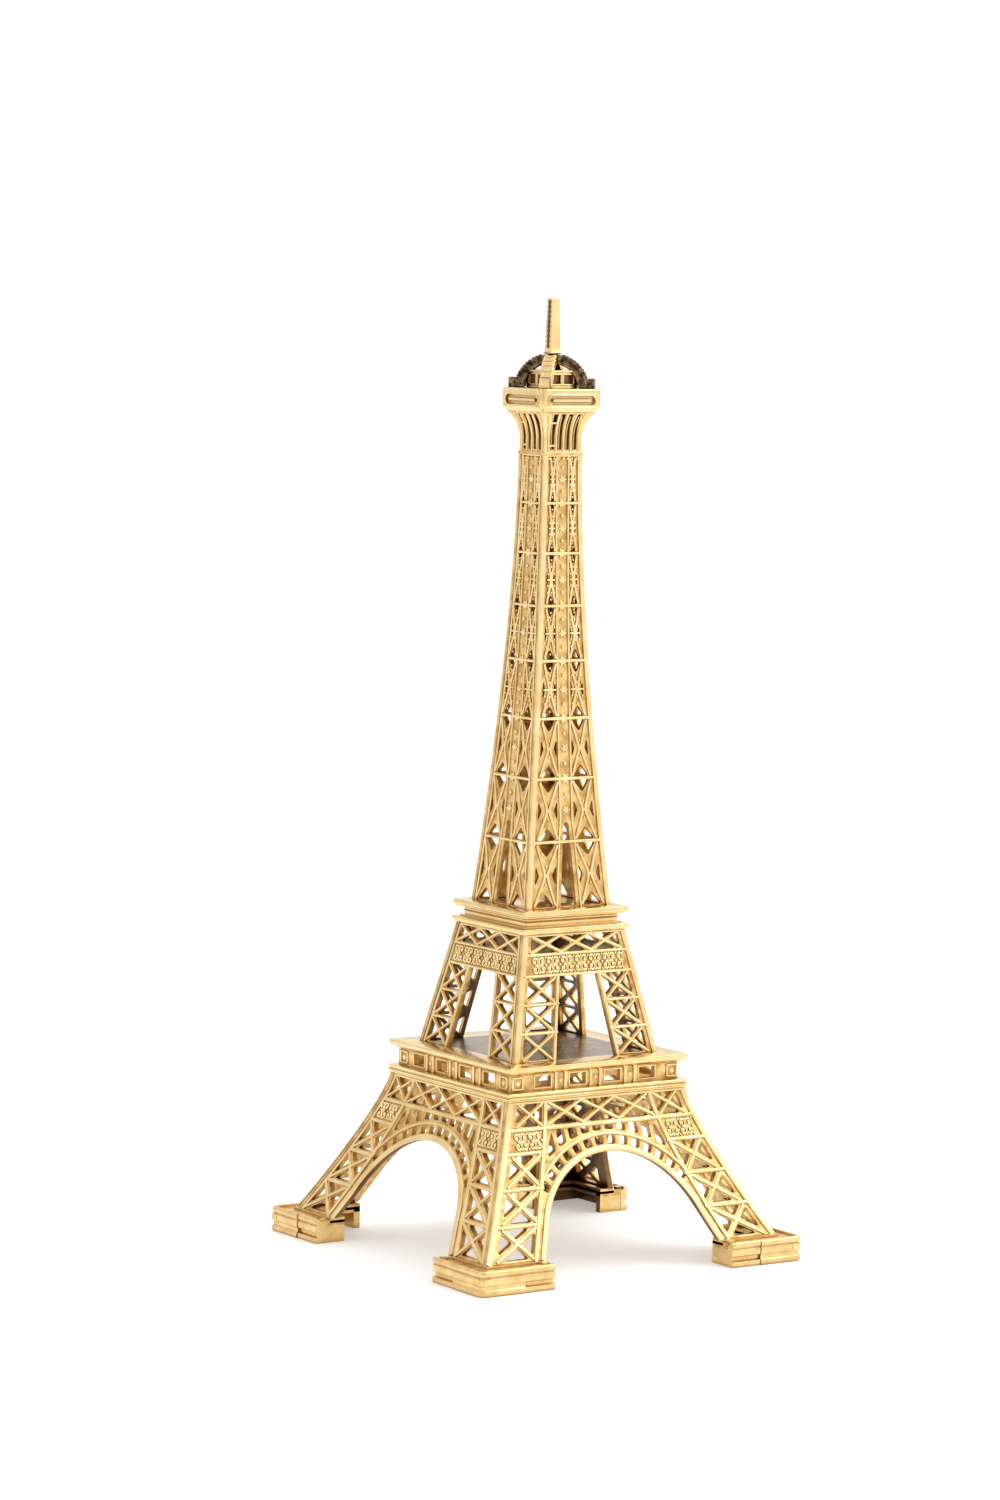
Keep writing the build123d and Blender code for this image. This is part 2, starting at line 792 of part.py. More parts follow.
def cupola_pegs(gap=0.0):
    """The four pegs under the ends of the cupola arches, or their holes when given a gap."""
    across = cupola_span - cupola_band / 2
    side = cupola_band * 0.6 + 2 * gap
    depth = cupola_peg + (tenon_end_gap if gap else 0)
    peg = Pos(across, 0, z_cabin - depth / 2) * Box(side, side, depth)
    pegs = [Rot(Z=45 + 90 * index) * peg for index in range(4)]
    return pegs[0] + pegs[1:]


def cupola_ring(gap=0.0):
    """A half-ellipse band along the X axis, or the room for it when given a gap."""
    outer = Ellipse(cupola_span + gap, cupola_rise + gap)
    inner = Ellipse(cupola_span - cupola_band - gap, cupola_rise - cupola_band - gap)
    ring = extrude(Plane.XZ * (outer - inner), amount=cupola_width / 2 + gap, both=True)
    return Pos(0, 0, z_cabin) * (ring & block(-reach, reach, -reach, reach, 0, reach))


def cupola_arch(angle, upper):
    """A cupola arch on a diagonal, halved where it crosses the other one."""
    arch = cupola_ring()
    half = cupola_width / 2
    ends = (cupola_span - cupola_band / 2, cupola_span + cupola_foot_length)
    foot = block(*ends, -half, half, z_cabin, z_cabin + cupola_foot_height)
    arch += [foot, mirror(foot, Plane.YZ)]
    lap = z_antenna - cupola_band / 2
    notch_half = half + seam
    notch = block(-notch_half, notch_half, -reach, reach, *((lap, reach * 3) if upper else (0, lap)))
    arch = Rot(Z=angle) * (arch - notch)
    arch -= square(antenna_peg / 2 + fit_gap, z_cabin + cabin_height, z_antenna)
    own_side = Rot(Z=angle) * block(-reach, reach, -cupola_width, cupola_width, 0, z_cabin)
    return arch + (cupola_pegs() & own_side)


def antenna():
    """The tapered square mast, pegged through the lap joint of the arches."""
    tip = z_antenna + antenna_length
    mast = flared([(antenna_base / 2, z_antenna), (antenna_tip / 2, tip)])
    return mast + square(antenna_peg / 2, z_antenna - cupola_band, z_antenna)


def build():
    """Every piece of the tower, by name."""
    built = {}
    for name, angle in CORNERS.items():
        turned(f"foot_{name}", angle, foot(), built)
    for name, angle in QUARTERS.items():
        side = name in ("left", "right")
        turned(f"lower_panel_{name}", angle, lower_panel(side * (lower_thick + seam)), built)
        turned(f"gallery_wall_{name}", angle, gallery_wall(side * (gallery_thick + seam)), built)
        turned(f"middle_panel_{name}", angle, middle_panel(side * (middle_thick + seam)), built)
        turned(f"spire_panel_{name}", angle, spire_panel(side * (spire_thick + seam)), built)
    built["first_cornice"] = first_cornice()
    built["first_deck"] = first_deck()
    built["second_cornice"] = second_cornice()
    built["second_deck"] = second_deck()
    built["capital"] = capital()
    built["top_platform"] = top_platform()
    built["cabin"] = cabin()
    built["cupola_arch_lower"] = cupola_arch(45, upper=True)
    built["cupola_arch_upper"] = cupola_arch(-45, upper=False)
    built["antenna"] = antenna()
    return built


os.makedirs("parts", exist_ok=True)
for node, shape in build().items():
    export_step(shape, f"parts/{node}.step")
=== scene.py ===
import math

import bmesh
import bpy
from mathutils import Matrix, Vector


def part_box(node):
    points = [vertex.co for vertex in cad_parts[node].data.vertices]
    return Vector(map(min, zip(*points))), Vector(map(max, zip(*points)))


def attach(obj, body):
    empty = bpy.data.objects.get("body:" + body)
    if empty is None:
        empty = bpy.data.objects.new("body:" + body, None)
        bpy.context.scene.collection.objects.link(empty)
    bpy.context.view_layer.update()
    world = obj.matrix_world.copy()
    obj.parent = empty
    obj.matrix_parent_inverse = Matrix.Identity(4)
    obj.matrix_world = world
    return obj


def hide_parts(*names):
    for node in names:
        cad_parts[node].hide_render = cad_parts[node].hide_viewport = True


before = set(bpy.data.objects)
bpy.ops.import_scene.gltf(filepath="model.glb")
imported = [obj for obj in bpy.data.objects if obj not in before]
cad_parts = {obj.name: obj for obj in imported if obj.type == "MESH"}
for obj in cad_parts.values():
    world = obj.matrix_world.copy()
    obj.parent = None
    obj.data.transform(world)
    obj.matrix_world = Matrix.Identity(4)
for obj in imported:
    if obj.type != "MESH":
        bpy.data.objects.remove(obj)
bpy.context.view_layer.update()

# A gold-plated miniature lattice tower. Sizes below are in millimetres, and every mesh is made in
# millimetres on a flat drawing of its face, then bent onto the tower and scaled to metres.
MM = 0.001
QUARTERS = {"front": 0, "right": 90, "rear": 180, "left": 270}


def lowest(node, axis):
    """A node's lowest coordinate along an axis, in millimetres."""
    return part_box(node)[0][axis] / MM


def highest(node, axis):
    """A node's highest coordinate along an axis, in millimetres."""
    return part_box(node)[1][axis] / MM


# Heights of the pieces, read from the frame
z_lower = highest("foot_front_left", 2)
z_cornice = lowest("first_cornice", 2)
z_gallery = highest("first_cornice", 2)
z_deck = lowest("first_deck", 2)
z_middle = highest("first_deck", 2)
z_second = lowest("second_cornice", 2)
z_spire = highest("second_deck", 2)
z_capital = highest("spire_panel_front", 2)
z_platform = lowest("top_platform", 2)
z_cabin = highest("top_platform", 2)
z_antenna = highest("cupola_arch_upper", 2)

# The cast panels
relief = 0.22  # how far the web lies behind the raised strips
sunk = relief + 0.1  # how deep the backs of the strips reach
corner_round = 0.26  # radius in the corners of an opening
edge_round = 0.09  # radius on the web's edges
sharp_angle = 32  # degrees between two faces from which their edge stays sharp
bend_step = 1.6  # spacing of the rings that let a web follow a curved face
seam = 0.12  # gap where a side panel butts against the front or rear one
leg_rib = 0.48  # widths of the raised ribs on the braces, and on the lower chords, rails and belt
fine_rib = 0.36
chord_rib = 0.7
rail_rib = 0.5
belt_rib = 0.55
top_rib = 0.4
belt_crosses = 3


# Materials


def new_material(name):
    """An empty node material and its node and link collections."""
    material = bpy.data.materials.new(name)
    material.use_nodes = True
    nodes = material.node_tree.nodes
    nodes.clear()
    return material, nodes, material.node_tree.links


def noise(nodes, links, coordinates, scale, detail):
    """A noise texture over object coordinates."""
    texture = nodes.new("ShaderNodeTexNoise")
    texture.inputs["Scale"].default_value = scale
    texture.inputs["Detail"].default_value = detail
    links.new(coordinates.outputs["Object"], texture.inputs["Vector"])
    return texture


def ramp(nodes, links, source, stops):
    """A colour ramp through (position, colour) stops."""
    node = nodes.new("ShaderNodeValToRGB")
    elements = node.color_ramp.elements
    while len(elements) < len(stops):
        elements.new(0.5)
    for element, (position, colour) in zip(elements, stops):
        element.position = position
        element.color = (*colour, 1)
    links.new(source, node.inputs["Fac"])
    return node


def ranged(nodes, links, source, low, high, start=0.3, end=0.7):
    """A value between start and end, spread over a range."""
    node = nodes.new("ShaderNodeMapRange")
    node.inputs["From Min"].default_value = start
    node.inputs["From Max"].default_value = end
    node.inputs["To Min"].default_value = low
    node.inputs["To Max"].default_value = high
    links.new(source, node.inputs["Value"])
    return node


def plated(name, bright, deep, recess, roughness, grain, reach, cloud=260):
    """Plated cast metal: cloudy tone, painted shade in the recesses where ambient occlusion finds them,
    and a fine cast grain.
    """
    material, nodes, links = new_material(name)
    coordinates = nodes.new("ShaderNodeTexCoord")
    clouds = noise(nodes, links, coordinates, scale=cloud, detail=4)
    tone = ramp(nodes, links, clouds.outputs["Fac"], [(0.35, deep), (0.62, bright)])
    # Painted shade: the recess colour is mixed in where ambient occlusion finds the surface sheltered.
    shelter = nodes.new("ShaderNodeAmbientOcclusion")
    shelter.samples = 8
    shelter.inputs["Distance"].default_value = reach * MM
    openness = ramp(nodes, links, shelter.outputs["AO"], [(0.25, (0, 0, 0)), (0.85, (1, 1, 1))])
    recess_shaded = nodes.new("ShaderNodeMix")
    recess_shaded.data_type = "RGBA"
    recess_shaded.inputs["A"].default_value = (*recess, 1)
    links.new(openness.outputs["Color"], recess_shaded.inputs["Factor"])
    links.new(tone.outputs["Color"], recess_shaded.inputs["B"])
    shader = nodes.new("ShaderNodeBsdfPrincipled")
    shader.inputs["Metallic"].default_value = 1.0
    links.new(recess_shaded.outputs["Result"], shader.inputs["Base Color"])
    wear = noise(nodes, links, coordinates, scale=900, detail=3)
    spread = 0.2 * roughness
    rough = ranged(nodes, links, wear.outputs["Fac"], roughness - spread, roughness + spread)
    links.new(rough.outputs["Result"], shader.inputs["Roughness"])
    fine = noise(nodes, links, coordinates, scale=3800, detail=5)
    bump = nodes.new("ShaderNodeBump")
    bump.inputs["Strength"].default_value = grain
    bump.inputs["Distance"].default_value = 0.05 * MM
    links.new(fine.outputs["Fac"], bump.inputs["Height"])
    links.new(bump.outputs["Normal"], shader.inputs["Normal"])
    output = nodes.new("ShaderNodeOutputMaterial")
    links.new(shader.outputs["BSDF"], output.inputs["Surface"])
    return material


def plain_floor(name):
    """The pale studio floor."""
    material, nodes, links = new_material(name)
    coordinates = nodes.new("ShaderNodeTexCoord")
    mottle = noise(nodes, links, coordinates, scale=30, detail=3)
    tone = ramp(nodes, links, mottle.outputs["Fac"], [(0.3, (0.76,) * 3), (0.7, (0.79,) * 3)])
    shader = nodes.new("ShaderNodeBsdfPrincipled")
    shader.inputs["Roughness"].default_value = 0.8
    shader.inputs["Emission Color"].default_value = (1, 1, 1, 1)
    shader.inputs["Emission Strength"].default_value = 0.32
    links.new(tone.outputs["Color"], shader.inputs["Base Color"])
    output = nodes.new("ShaderNodeOutputMaterial")
    links.new(shader.outputs["BSDF"], output.inputs["Surface"])
    return material


gold = plated(
    "gold_cast", (0.94, 0.735, 0.39), (0.84, 0.59, 0.26), (0.42, 0.23, 0.07),
    roughness=0.34, grain=0.25, reach=1.0,
)
# A mottled antique gold whose darker tone is painted shade, for the web behind the raised strips and
# for inner faces.
shaded_antique_gold = plated(
    "gold_web_antique_painted_shade", (0.83, 0.58, 0.25), (0.52, 0.305, 0.095), (0.34, 0.17, 0.045),
    roughness=0.40, grain=0.35, reach=1.4, cloud=600,
)
smooth_gold = plated(
    "gold_smooth", (0.89, 0.685, 0.36), (0.82, 0.59, 0.27), (0.40, 0.22, 0.07),
    roughness=0.24, grain=0.02, reach=1.2,
)
# Dark bronze: painted shade on the inner faces low in the rear right leg and foot and on the arch's
# underside; it also colours the cabin's panes and the mast's sunken beads.
bronze_and_shade = plated(
    "bronze_inner_painted_shade", (0.25, 0.15, 0.072), (0.15, 0.083, 0.036), (0.08, 0.042, 0.018),
    roughness=0.34, grain=0.1, reach=2.5,
)
# Dark polished bronze: painted shade on the inner faces of the middle panels and on the first deck's
# middle beneath them.
shade_plate = plated(
    "bronze_polished_painted_shade", (0.31, 0.235, 0.155), (0.28, 0.205, 0.13), (0.12, 0.08, 0.05),
    roughness=0.3, grain=0.01, reach=2.0,
)
foot_gold = plated(
    "gold_foot", (0.89, 0.665, 0.32), (0.76, 0.51, 0.21), (0.40, 0.21, 0.06),
    roughness=0.36, grain=0.25, reach=1.2, cloud=500,
)
# Darker gold for the fluted capital: painted shade in its flutes behind the bright ribs.
shaded_flute_gold = plated(
    "gold_fluted_painted_shade", (0.80, 0.57, 0.27), (0.60, 0.38, 0.15), (0.42, 0.24, 0.08),
    roughness=0.38, grain=0.3, reach=1.6, cloud=600,
)
arch_bronze = plated(
    "bronze_arch", (0.36, 0.25, 0.14), (0.04, 0.02, 0.009), (0.03, 0.014, 0.006),
    roughness=0.38, grain=0.9, reach=0.5, cloud=1100,
)
CAST = [gold, bronze_and_shade, shaded_antique_gold]  # raised strips; inner faces, dark bronze as painted shade; the web between the strips, darker gold as painted shade
MIDDLE_CAST = [gold, shade_plate, shaded_antique_gold]
FOOT_CAST = [foot_gold, bronze_and_shade, shaded_antique_gold]


# Outlines on a face's drawing, as (across, up) points, counter-clockwise


def mirrored(outline):
    """The same outline on the other side of the tower's middle."""
    return [(-x, z) for x, z in reversed(outline)]


def paired(outlines):
    """Each outline with its twin on the other side of the tower's middle."""
    return [shape for outline in outlines for shape in (outline, mirrored(outline))]


def column(inner, outer, low, high):
    """The cell between two lines that are given as functions of height."""
    return [(inner(low), low), (outer(low), low), (outer(high), high), (inner(high), high)]


def around(radius, count):
    """Points round a circle."""
    turns = [math.tau * i / count for i in range(count)]
    return [(radius * math.cos(turn), radius * math.sin(turn)) for turn in turns]


def box_outline(middle, half, low, high):
    """A rectangle about a middle."""
    return [(middle - half, low), (middle + half, low), (middle + half, high), (middle - half, high)]


def centred(low_half, low, high_half, high):
    """A four-cornered cell about the tower's middle."""
    return [(-low_half, low), (low_half, low), (high_half, high), (-high_half, high)]


def inset(outline, gaps):
    """The outline with each edge moved inwards by its own gap."""
    lines = []
    for (x0, z0), (x1, z1), gap in zip(outline, outline[1:] + outline[:1], gaps):
        length = math.hypot(x1 - x0, z1 - z0)
        across, up = (z0 - z1) / length, (x1 - x0) / length
        lines.append((across, up, across * x0 + up * z0 + gap))
    corners = []
    for (a, b, c), (d, e, f) in zip(lines[-1:] + lines[:-1], lines):
        scale = a * e - b * d
        corners.append(((c * e - b * f) / scale, (a * f - c * d) / scale))
    return corners


def crossing(cell):
    """Where the diagonals of a four-cornered cell cross."""
    (ax, az), (bx, bz), (cx, cz), (dx, dz) = cell
    turn = (cx - ax) * (dz - bz) - (cz - az) * (dx - bx)
    share = ((bx - ax) * (dz - bz) - (bz - az) * (dx - bx)) / turn
    return (ax + share * (cx - ax), az + share * (cz - az))


def crossed(cell, brace):
    """The four openings left in a cell by two diagonal braces."""
    middle = crossing(cell)
    sides = zip(cell, cell[1:] + cell[:1])
    return [inset([start, end, middle], [0, brace / 2, brace / 2]) for start, end in sides]


def row_points(cell, count):
    """The low and high corners and the crossings of a row of crosses in a wide cell."""
    low_left, low_right, high_right, high_left = cell

    def between(start, end, step):
        share = step / count
        return (start[0] + share * (end[0] - start[0]), start[1] + share * (end[1] - start[1]))

    low = [between(low_left, low_right, step) for step in range(count + 1)]
    high = [between(high_left, high_right, step) for step in range(count + 1)]
    middles = [crossing([low[i], low[i + 1], high[i + 1], high[i]]) for i in range(count)]
    return low, high, middles


def crossed_row(cell, count, brace):
    """The openings left in a wide cell by a row of crosses with no uprights between them."""
    low, high, middles = row_points(cell, count)
    half = brace / 2
    holes = [inset([high[0], low[0], middles[0]], [0, half, half])]
    holes.append(inset([low[-1], high[-1], middles[-1]], [0, half, half]))
    for i, middle in enumerate(middles):
        holes.append(inset([low[i], low[i + 1], middle], [0, half, half]))
        holes.append(inset([high[i + 1], high[i], middle], [0, half, half]))
    for i in range(1, count):
        holes.append(inset([low[i], middles[i], high[i], middles[i - 1]], [half] * 4))
    return holes


def rounded(outline, radius, steps=2):
    """The outline with each corner eased by a short curve."""
    curve = []
    count = len(outline)
    for i, corner in enumerate(outline):
        corner = Vector(corner)
        before = Vector(outline[i - 1]) - corner
        after = Vector(outline[(i + 1) % count]) - corner
        shortest = min(before.length, after.length)
        reach = min(radius / math.tan(before.angle(after) / 2), shortest * 0.4)
        start = corner + before.normalized() * reach
        end = corner + after.normalized() * reach
        for step in range(steps + 1):
            t = step / steps
            point = start * (1 - t) ** 2 + corner * 2 * t * (1 - t) + end * t**2
            curve.append((point.x, point.y))
    return curve


# Drawings: geometry as (across, up, depth behind the face), gathered for one piece


class Drawing:
    """The vertices and faces of a cast piece, on the flat drawing of its face."""

    def __init__(self):
        self.points = []
        self.faces = []
        self.slots = []

    def web(self, border, holes, front, back, levels=(), slots=(2, 1)):
        """A plate with openings, its edges eased; slots are for its front and its back face."""
        curve = bpy.data.curves.new("web", "CURVE")
        curve.dimensions = "2D"
        curve.fill_mode = "BOTH"
        half = (back - front) / 2
        curve.extrude = half - edge_round
        curve.bevel_depth = edge_round
        curve.bevel_resolution = 1
        curve.offset = -edge_round
        for outline in [border] + [rounded(hole, corner_round) for hole in holes]:
            spline = curve.splines.new("POLY")
            spline.points.add(len(outline) - 1)
            spline.use_cyclic_u = True
            for point, (x, z) in zip(spline.points, outline):
                point.co = (x, z, 0, 1)
        holder = bpy.data.objects.new("web", curve)
        bpy.context.scene.collection.objects.link(holder)
        bpy.context.view_layer.update()
        evaluated = holder.evaluated_get(bpy.context.evaluated_depsgraph_get())
        mesh = bpy.data.meshes.new_from_object(evaluated)
        bpy.data.objects.remove(holder)
        bpy.data.curves.remove(curve)
        work = bmesh.new()
        work.from_mesh(mesh)
        bpy.data.meshes.remove(mesh)
        bmesh.ops.remove_doubles(work, verts=work.verts, dist=1e-5)
        for level in levels:
            everything = work.verts[:] + work.edges[:] + work.faces[:]
            bmesh.ops.bisect_plane(
                work, geom=everything, dist=1e-6, plane_co=(0, level, 0), plane_no=(0, 1, 0)
            )
        work.verts.index_update()
        points = [(v.co.x, v.co.y, front + half - v.co.z) for v in work.verts]
        first = len(self.points)
        self.points += points
        for face in work.faces:
            self.faces.append([first + v.index for v in face.verts])
            at_back = all(points[v.index][2] > back - edge_round - 1e-4 for v in face.verts)
            self.slots.append(slots[at_back])
        work.free()

    def strip(self, path, width, front=0, back=sunk):
        """A raised strip with a rounded face, swept along a path on the drawing."""
        ease = min(width, back - front) * 0.4
        half = width / 2
        turns = [math.radians(a) for a in (90, 45, 0)]
        profile = [(-half, back)]
        profile += [
            (-half + ease * (1 - math.sin(a)), front + ease * (1 - math.cos(a))) for a in turns
        ]
        profile += [(-x, d) for x, d in reversed(profile)]
        self.sweep(path, profile)

    def sweep(self, path, profile):
        """A closed profile of (across the path, depth) swept along an open path."""
        path = [Vector(p) for p in path]
        rings = []
        for i, point in enumerate(path):
            ahead = (path[min(i + 1, len(path) - 1)] - point).normalized()
            behind = (point - path[max(i - 1, 0)]).normalized()
            along = (ahead + behind).normalized()
            across = Vector((along.y, -along.x))
            stretch = 1 / max(0.5, across.dot(Vector((ahead.y, -ahead.x))) if ahead.length else 1)
            stretch = 1 if i in (0, len(path) - 1) else stretch
            rings.append([(*(point + across * (u * stretch)), d) for u, d in profile])
        self.loft(rings)

    def loft(self, rings, looped=False):
        """A closed shell through rings of equal length, capped at both ends unless it is looped."""
        first = len(self.points)
        count = len(rings[0])
        starts = [first + i * count for i in range(len(rings))]
        faces = []
        for here, there in zip(starts, starts[1:] + starts[: 1 if looped else 0]):
            for j in range(count):
                k = (j + 1) % count
                faces.append([here + j, here + k, there + k, there + j])
        if not looped:
            faces.append([starts[0] + j for j in range(count)][::-1])
            faces.append([starts[-1] + j for j in range(count)])
        self.points += [point for ring in rings for point in ring]
        self.faces += faces
        self.slots += [0] * len(faces)

    def wire(self, path, radius, depth, sides=6):
        """A round wire along a path, its axis at one depth."""
        turns = [math.tau * (i + 0.5) / sides for i in range(sides)]
        self.sweep(path, [(radius * math.cos(a), depth + radius * math.sin(a)) for a in turns])

    def dome(self, x, z, radius, front, back=sunk, sides=10):
        """A low round boss."""
        rings = []
        for scale, share in ((1, 1), (1, 0.5), (0.8, 0.15), (0.35, 0)):
            depth = front + (back - front) * share
            circle = around(radius * scale, sides)
            rings.append([(x + across, z + up, depth) for across, up in circle])
        self.loft(rings)

    def petals(self, x, z, spread, count, radius, front, back=sunk):
        """A ring of small bosses about a point."""
        for across, up in around(spread, count):
            self.dome(x + across, z + up, radius, front, back, sides=6)


def finished(name, drawing, place, materials, node=None):
    """Makes a piece from a drawing, and hides the node that it replaces, if any."""
    mesh = bpy.data.meshes.new(name)
    mesh.from_pydata([Vector(place(*point)) * MM for point in drawing.points], [], drawing.faces)
    for material in materials:
        mesh.materials.append(material)
    mesh.polygons.foreach_set("material_index", drawing.slots)
    tidy = bmesh.new()
    tidy.from_mesh(mesh)
    bmesh.ops.recalc_face_normals(tidy, faces=tidy.faces)
    tidy.to_mesh(mesh)
    tidy.free()
    mesh.shade_smooth()
    mesh.set_sharp_from_angle(angle=math.radians(sharp_angle))
    piece = bpy.data.objects.new(name, mesh)
    bpy.context.scene.collection.objects.link(piece)
    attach(piece, "root")
    if node:
        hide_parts(node)
    return piece


class Stage:
    """A tapering square stage of the tower."""

    def __init__(self, low, high, half_base, half_top, curve=1.0):
        self.low = low
        self.high = high
        self.half_base = half_base
        self.half_top = half_top
        self.curve = curve

    def half(self, z):
        """Half-width of the outer faces at a height."""
        share = min(1, max(0, (self.high - z) / (self.high - self.low)))
        return self.half_top + (self.half_base - self.half_top) * share**self.curve

    def place(self, side):
        """Bends a drawing onto one face of the stage."""
        turn = Matrix.Rotation(math.radians(QUARTERS[side]), 3, "Z")

        def bend(x, z, depth):
            return turn @ Vector((x, depth - self.half(z), z))

        return bend

    def rings(self):
        """Heights at which a web is cut so that it can bend."""
        count = round((self.high - self.low) / bend_step)
        return [self.low + (self.high - self.low) * i / count for i in range(1, count)]


def along(function, low, high, step=1.2):
    """A path that runs up a face, its distance from the middle given by a function of height."""
    count = max(2, round((high - low) / step))
    heights = [low + (high - low) * i / count for i in range(count + 1)]
    return [(function(z), z) for z in heights]


def both_sides(draw, path, *sizes):
    """Draws a strip on both sides of the tower's middle."""
    draw(path, *sizes)
    draw([(-x, z) for x, z in path], *sizes)


def cut_back(side, thick):
    """How far a panel's ends are cut back, so that the side panels butt against the others."""
    return 0 if side in ("front", "rear") else thick + seam


def scroll(drawing, x, z, size, turn, flip, steps=14):
    """A wire spiral of just over one turn with a bead in its eye, for the filigree bands."""
    path = []
    for i in range(steps + 1):
        angle = turn + flip * math.tau * 1.15 * i / steps
        radius = size * (1 - 0.72 * i / steps)
        path.append((x + radius * math.cos(angle), z + radius * math.sin(angle)))
    drawing.wire(path, 0.15, relief - 0.1)
    drawing.dome(x, z, 0.26, 0.0, relief + 0.05, sides=8)


def filigree(drawing, left, right, low, high):
    """A band of paired scrolls between two heights."""
    size = (high - low) * 0.25
    count = max(1, round((right - left) / (2 * size)))
    pitch = (right - left) / count
    for i in range(count):
        x = left + pitch * (i + 0.5)
        flip = 1 if i % 2 else -1
        scroll(drawing, x, low + (high - low) * 0.27, size, math.pi / 2, flip)
        scroll(drawing, x, low + (high - low) * 0.74, size, -math.pi / 2, -flip)
        for up in (0.08, 0.5, 0.92):
            drawing.dome(x + pitch / 2, low + (high - low) * up, 0.2, 0.02, relief + 0.05, sides=8)


def cross_ribs(drawing, cells, width):
    """Two raised ribs from corner to corner of each cell, with a boss where they cross."""
    for cell in cells:
        a, b, c, d = cell
        drawing.strip([a, c], width, 0.05)
        drawing.strip([b, d], width, 0.05)
        drawing.dome(*crossing(cell), width * 0.8, 0)


def row_cells(cell, count):
    """The cells of the crosses in a wide cell."""
    low, high, _ = row_points(cell, count)
    return [[low[i], low[i + 1], high[i + 1], high[i]] for i in range(count)]


# Lower stage

lower_thick = 1.2
lower_top = lower_thick - highest("lower_panel_front", 1)
LOWER = Stage(z_lower, z_cornice, highest("lower_panel_front", 0), lower_top, curve=1.21)
leg_top = 7.4
chord = 0.9
rail = 0.7
brace = 1.0
belt_brace = 0.6
lower_corner = 1.3
belt_low = z_cornice - 4.1
scroll_low = belt_low - 3.4
leg_cells = 3
arch_radius = 15.3
arch_spring = 25.0
arch_rim = 1.1
ring_height = 1.25
arch_back = 0.85
arch_foot_rim = 1.47
shaded_soffit = 0.12  # faces this near to the arch's inner line are its underside, given painted shade
slot_height = 0.7
slot_pitch = 2.3
slot_half = 0.75
ring_pitch = 2.17
ring_opening = 1.4
ring_inner = arch_radius + arch_rim
ring_outer = ring_inner + ring_height
arch_outer = ring_outer + arch_back
slot_arc = arch_outer * 1.1
arch_centre = belt_low - rail / 2 - slot_height - arch_outer
spring_across = arch_radius * math.cos(math.radians(arch_spring))
spring_up = arch_centre + arch_radius * math.sin(math.radians(arch_spring))
arch_foot_half = spring_across + (spring_up - z_lower) * math.tan(math.radians(arch_spring))
leg_base = LOWER.half_base - arch_foot_half - arch_foot_rim


def leg_inner(z):
    """Distance from the tower's middle to the inner edge of a leg."""
    share = (z - z_lower) / (z_cornice - z_lower)
    return LOWER.half(z) - leg_base - (leg_top - leg_base) * share


def leg_outer(z):
    """Distance from the tower's middle to the corner strip of a leg."""
    return LOWER.half(z) - lower_thick - lower_corner / 2


def leg_cell(low, high):
    """The clear space of the right leg between two heights."""
    return column(lambda z: leg_inner(z) + chord, leg_outer, low, high)


def on_arch(radius, degrees):
    """A point at an angle above level about the arch's centre."""
    angle = math.radians(degrees)
    return (radius * math.cos(angle), arch_centre + radius * math.sin(angle))


def arc(radius, start, count):
    """Points along an arc of the arch, from an angle over to the same angle on the other side."""
    return [on_arch(radius, start + (180 - 2 * start) * i / count) for i in range(count + 1)]


def arch_distance(x, z):
    """Distance of a point from the arch's inner line."""
    x = abs(x)
    if z > spring_up:
        return math.hypot(x, z - arch_centre) - arch_radius
    foot = arch_foot_half - (z - z_lower) * math.tan(math.radians(arch_spring))
    return (x - foot) * math.cos(math.radians(arch_spring))


def lower_border(trim):
    """The border of a lower panel, with the arch cut up into it."""
    right = along(lambda z: LOWER.half(z) - trim, z_lower, z_cornice)[::-1]
    right += [(arch_foot_half, z_lower)]
    left = [(-x, z) for x, z in right[:-1][::-1]]
    return right + arc(arch_radius, arch_spring, count=48) + [(-arch_foot_half, z_lower)] + left


def ring_openings():
    """The right half of the row of radial openings round the arch, out to where it meets the leg."""
    step = math.degrees(ring_pitch / ring_inner)
    half = math.degrees(ring_opening / ring_inner) / 2
    holes = []
    angle = 90 - step / 2
    while True:
        high, low = angle + half, angle - half
        ends = [(ring_inner, high), (ring_inner, low), (ring_outer, low), (ring_outer, high)]
        hole = [on_arch(radius, turn) for radius, turn in ends]
        if hole[2][0] > leg_inner(hole[2][1]) + chord / 2:
            return holes
        holes.append(hole)
        angle -= step


def leg_rise(across):
    """Height at which the inner edge of a leg comes this near to the tower's middle."""
    low, high = z_lower, z_cornice
    while high - low > 0.001:
        middle = (low + high) / 2
        if leg_inner(middle) > across:
            low = middle
        else:
            high = middle
    return low


def slot_floor(across):
    """Height of the curve that the spandrel slots stand on."""
    return arch_centre + arch_outer - slot_arc + math.sqrt(slot_arc**2 - across**2)


def spandrel_slots():
    """The right half of the upright slots between the arch's back and the belt, out to the leg."""
    belt = belt_low - rail / 2
    holes = []
    middle = slot_pitch / 2
    while True:
        left, right = middle - slot_half, middle + slot_half
        tops = [min(belt, leg_rise(x + chord / 2)) for x in (left, right)]
        if tops[1] < slot_floor(right) + 0.5:
            return holes
        floors = [slot_floor(left), slot_floor(right)]
        holes.append([(left, floors[0]), (right, floors[1]), (right, tops[1]), (left, tops[0])])
        middle += slot_pitch


def in_rear_leg_shade(side, points):
    """Whether part of a panel's inner face lies low in the rear right leg, which gets painted shade
    inside.
    """
    turned = [LOWER.place(side)(*point) for point in points]
    to_rear_right = min(min(p.x, p.y) for p in turned) > 0
    return to_rear_right and max(p.z for p in turned) < belt_low


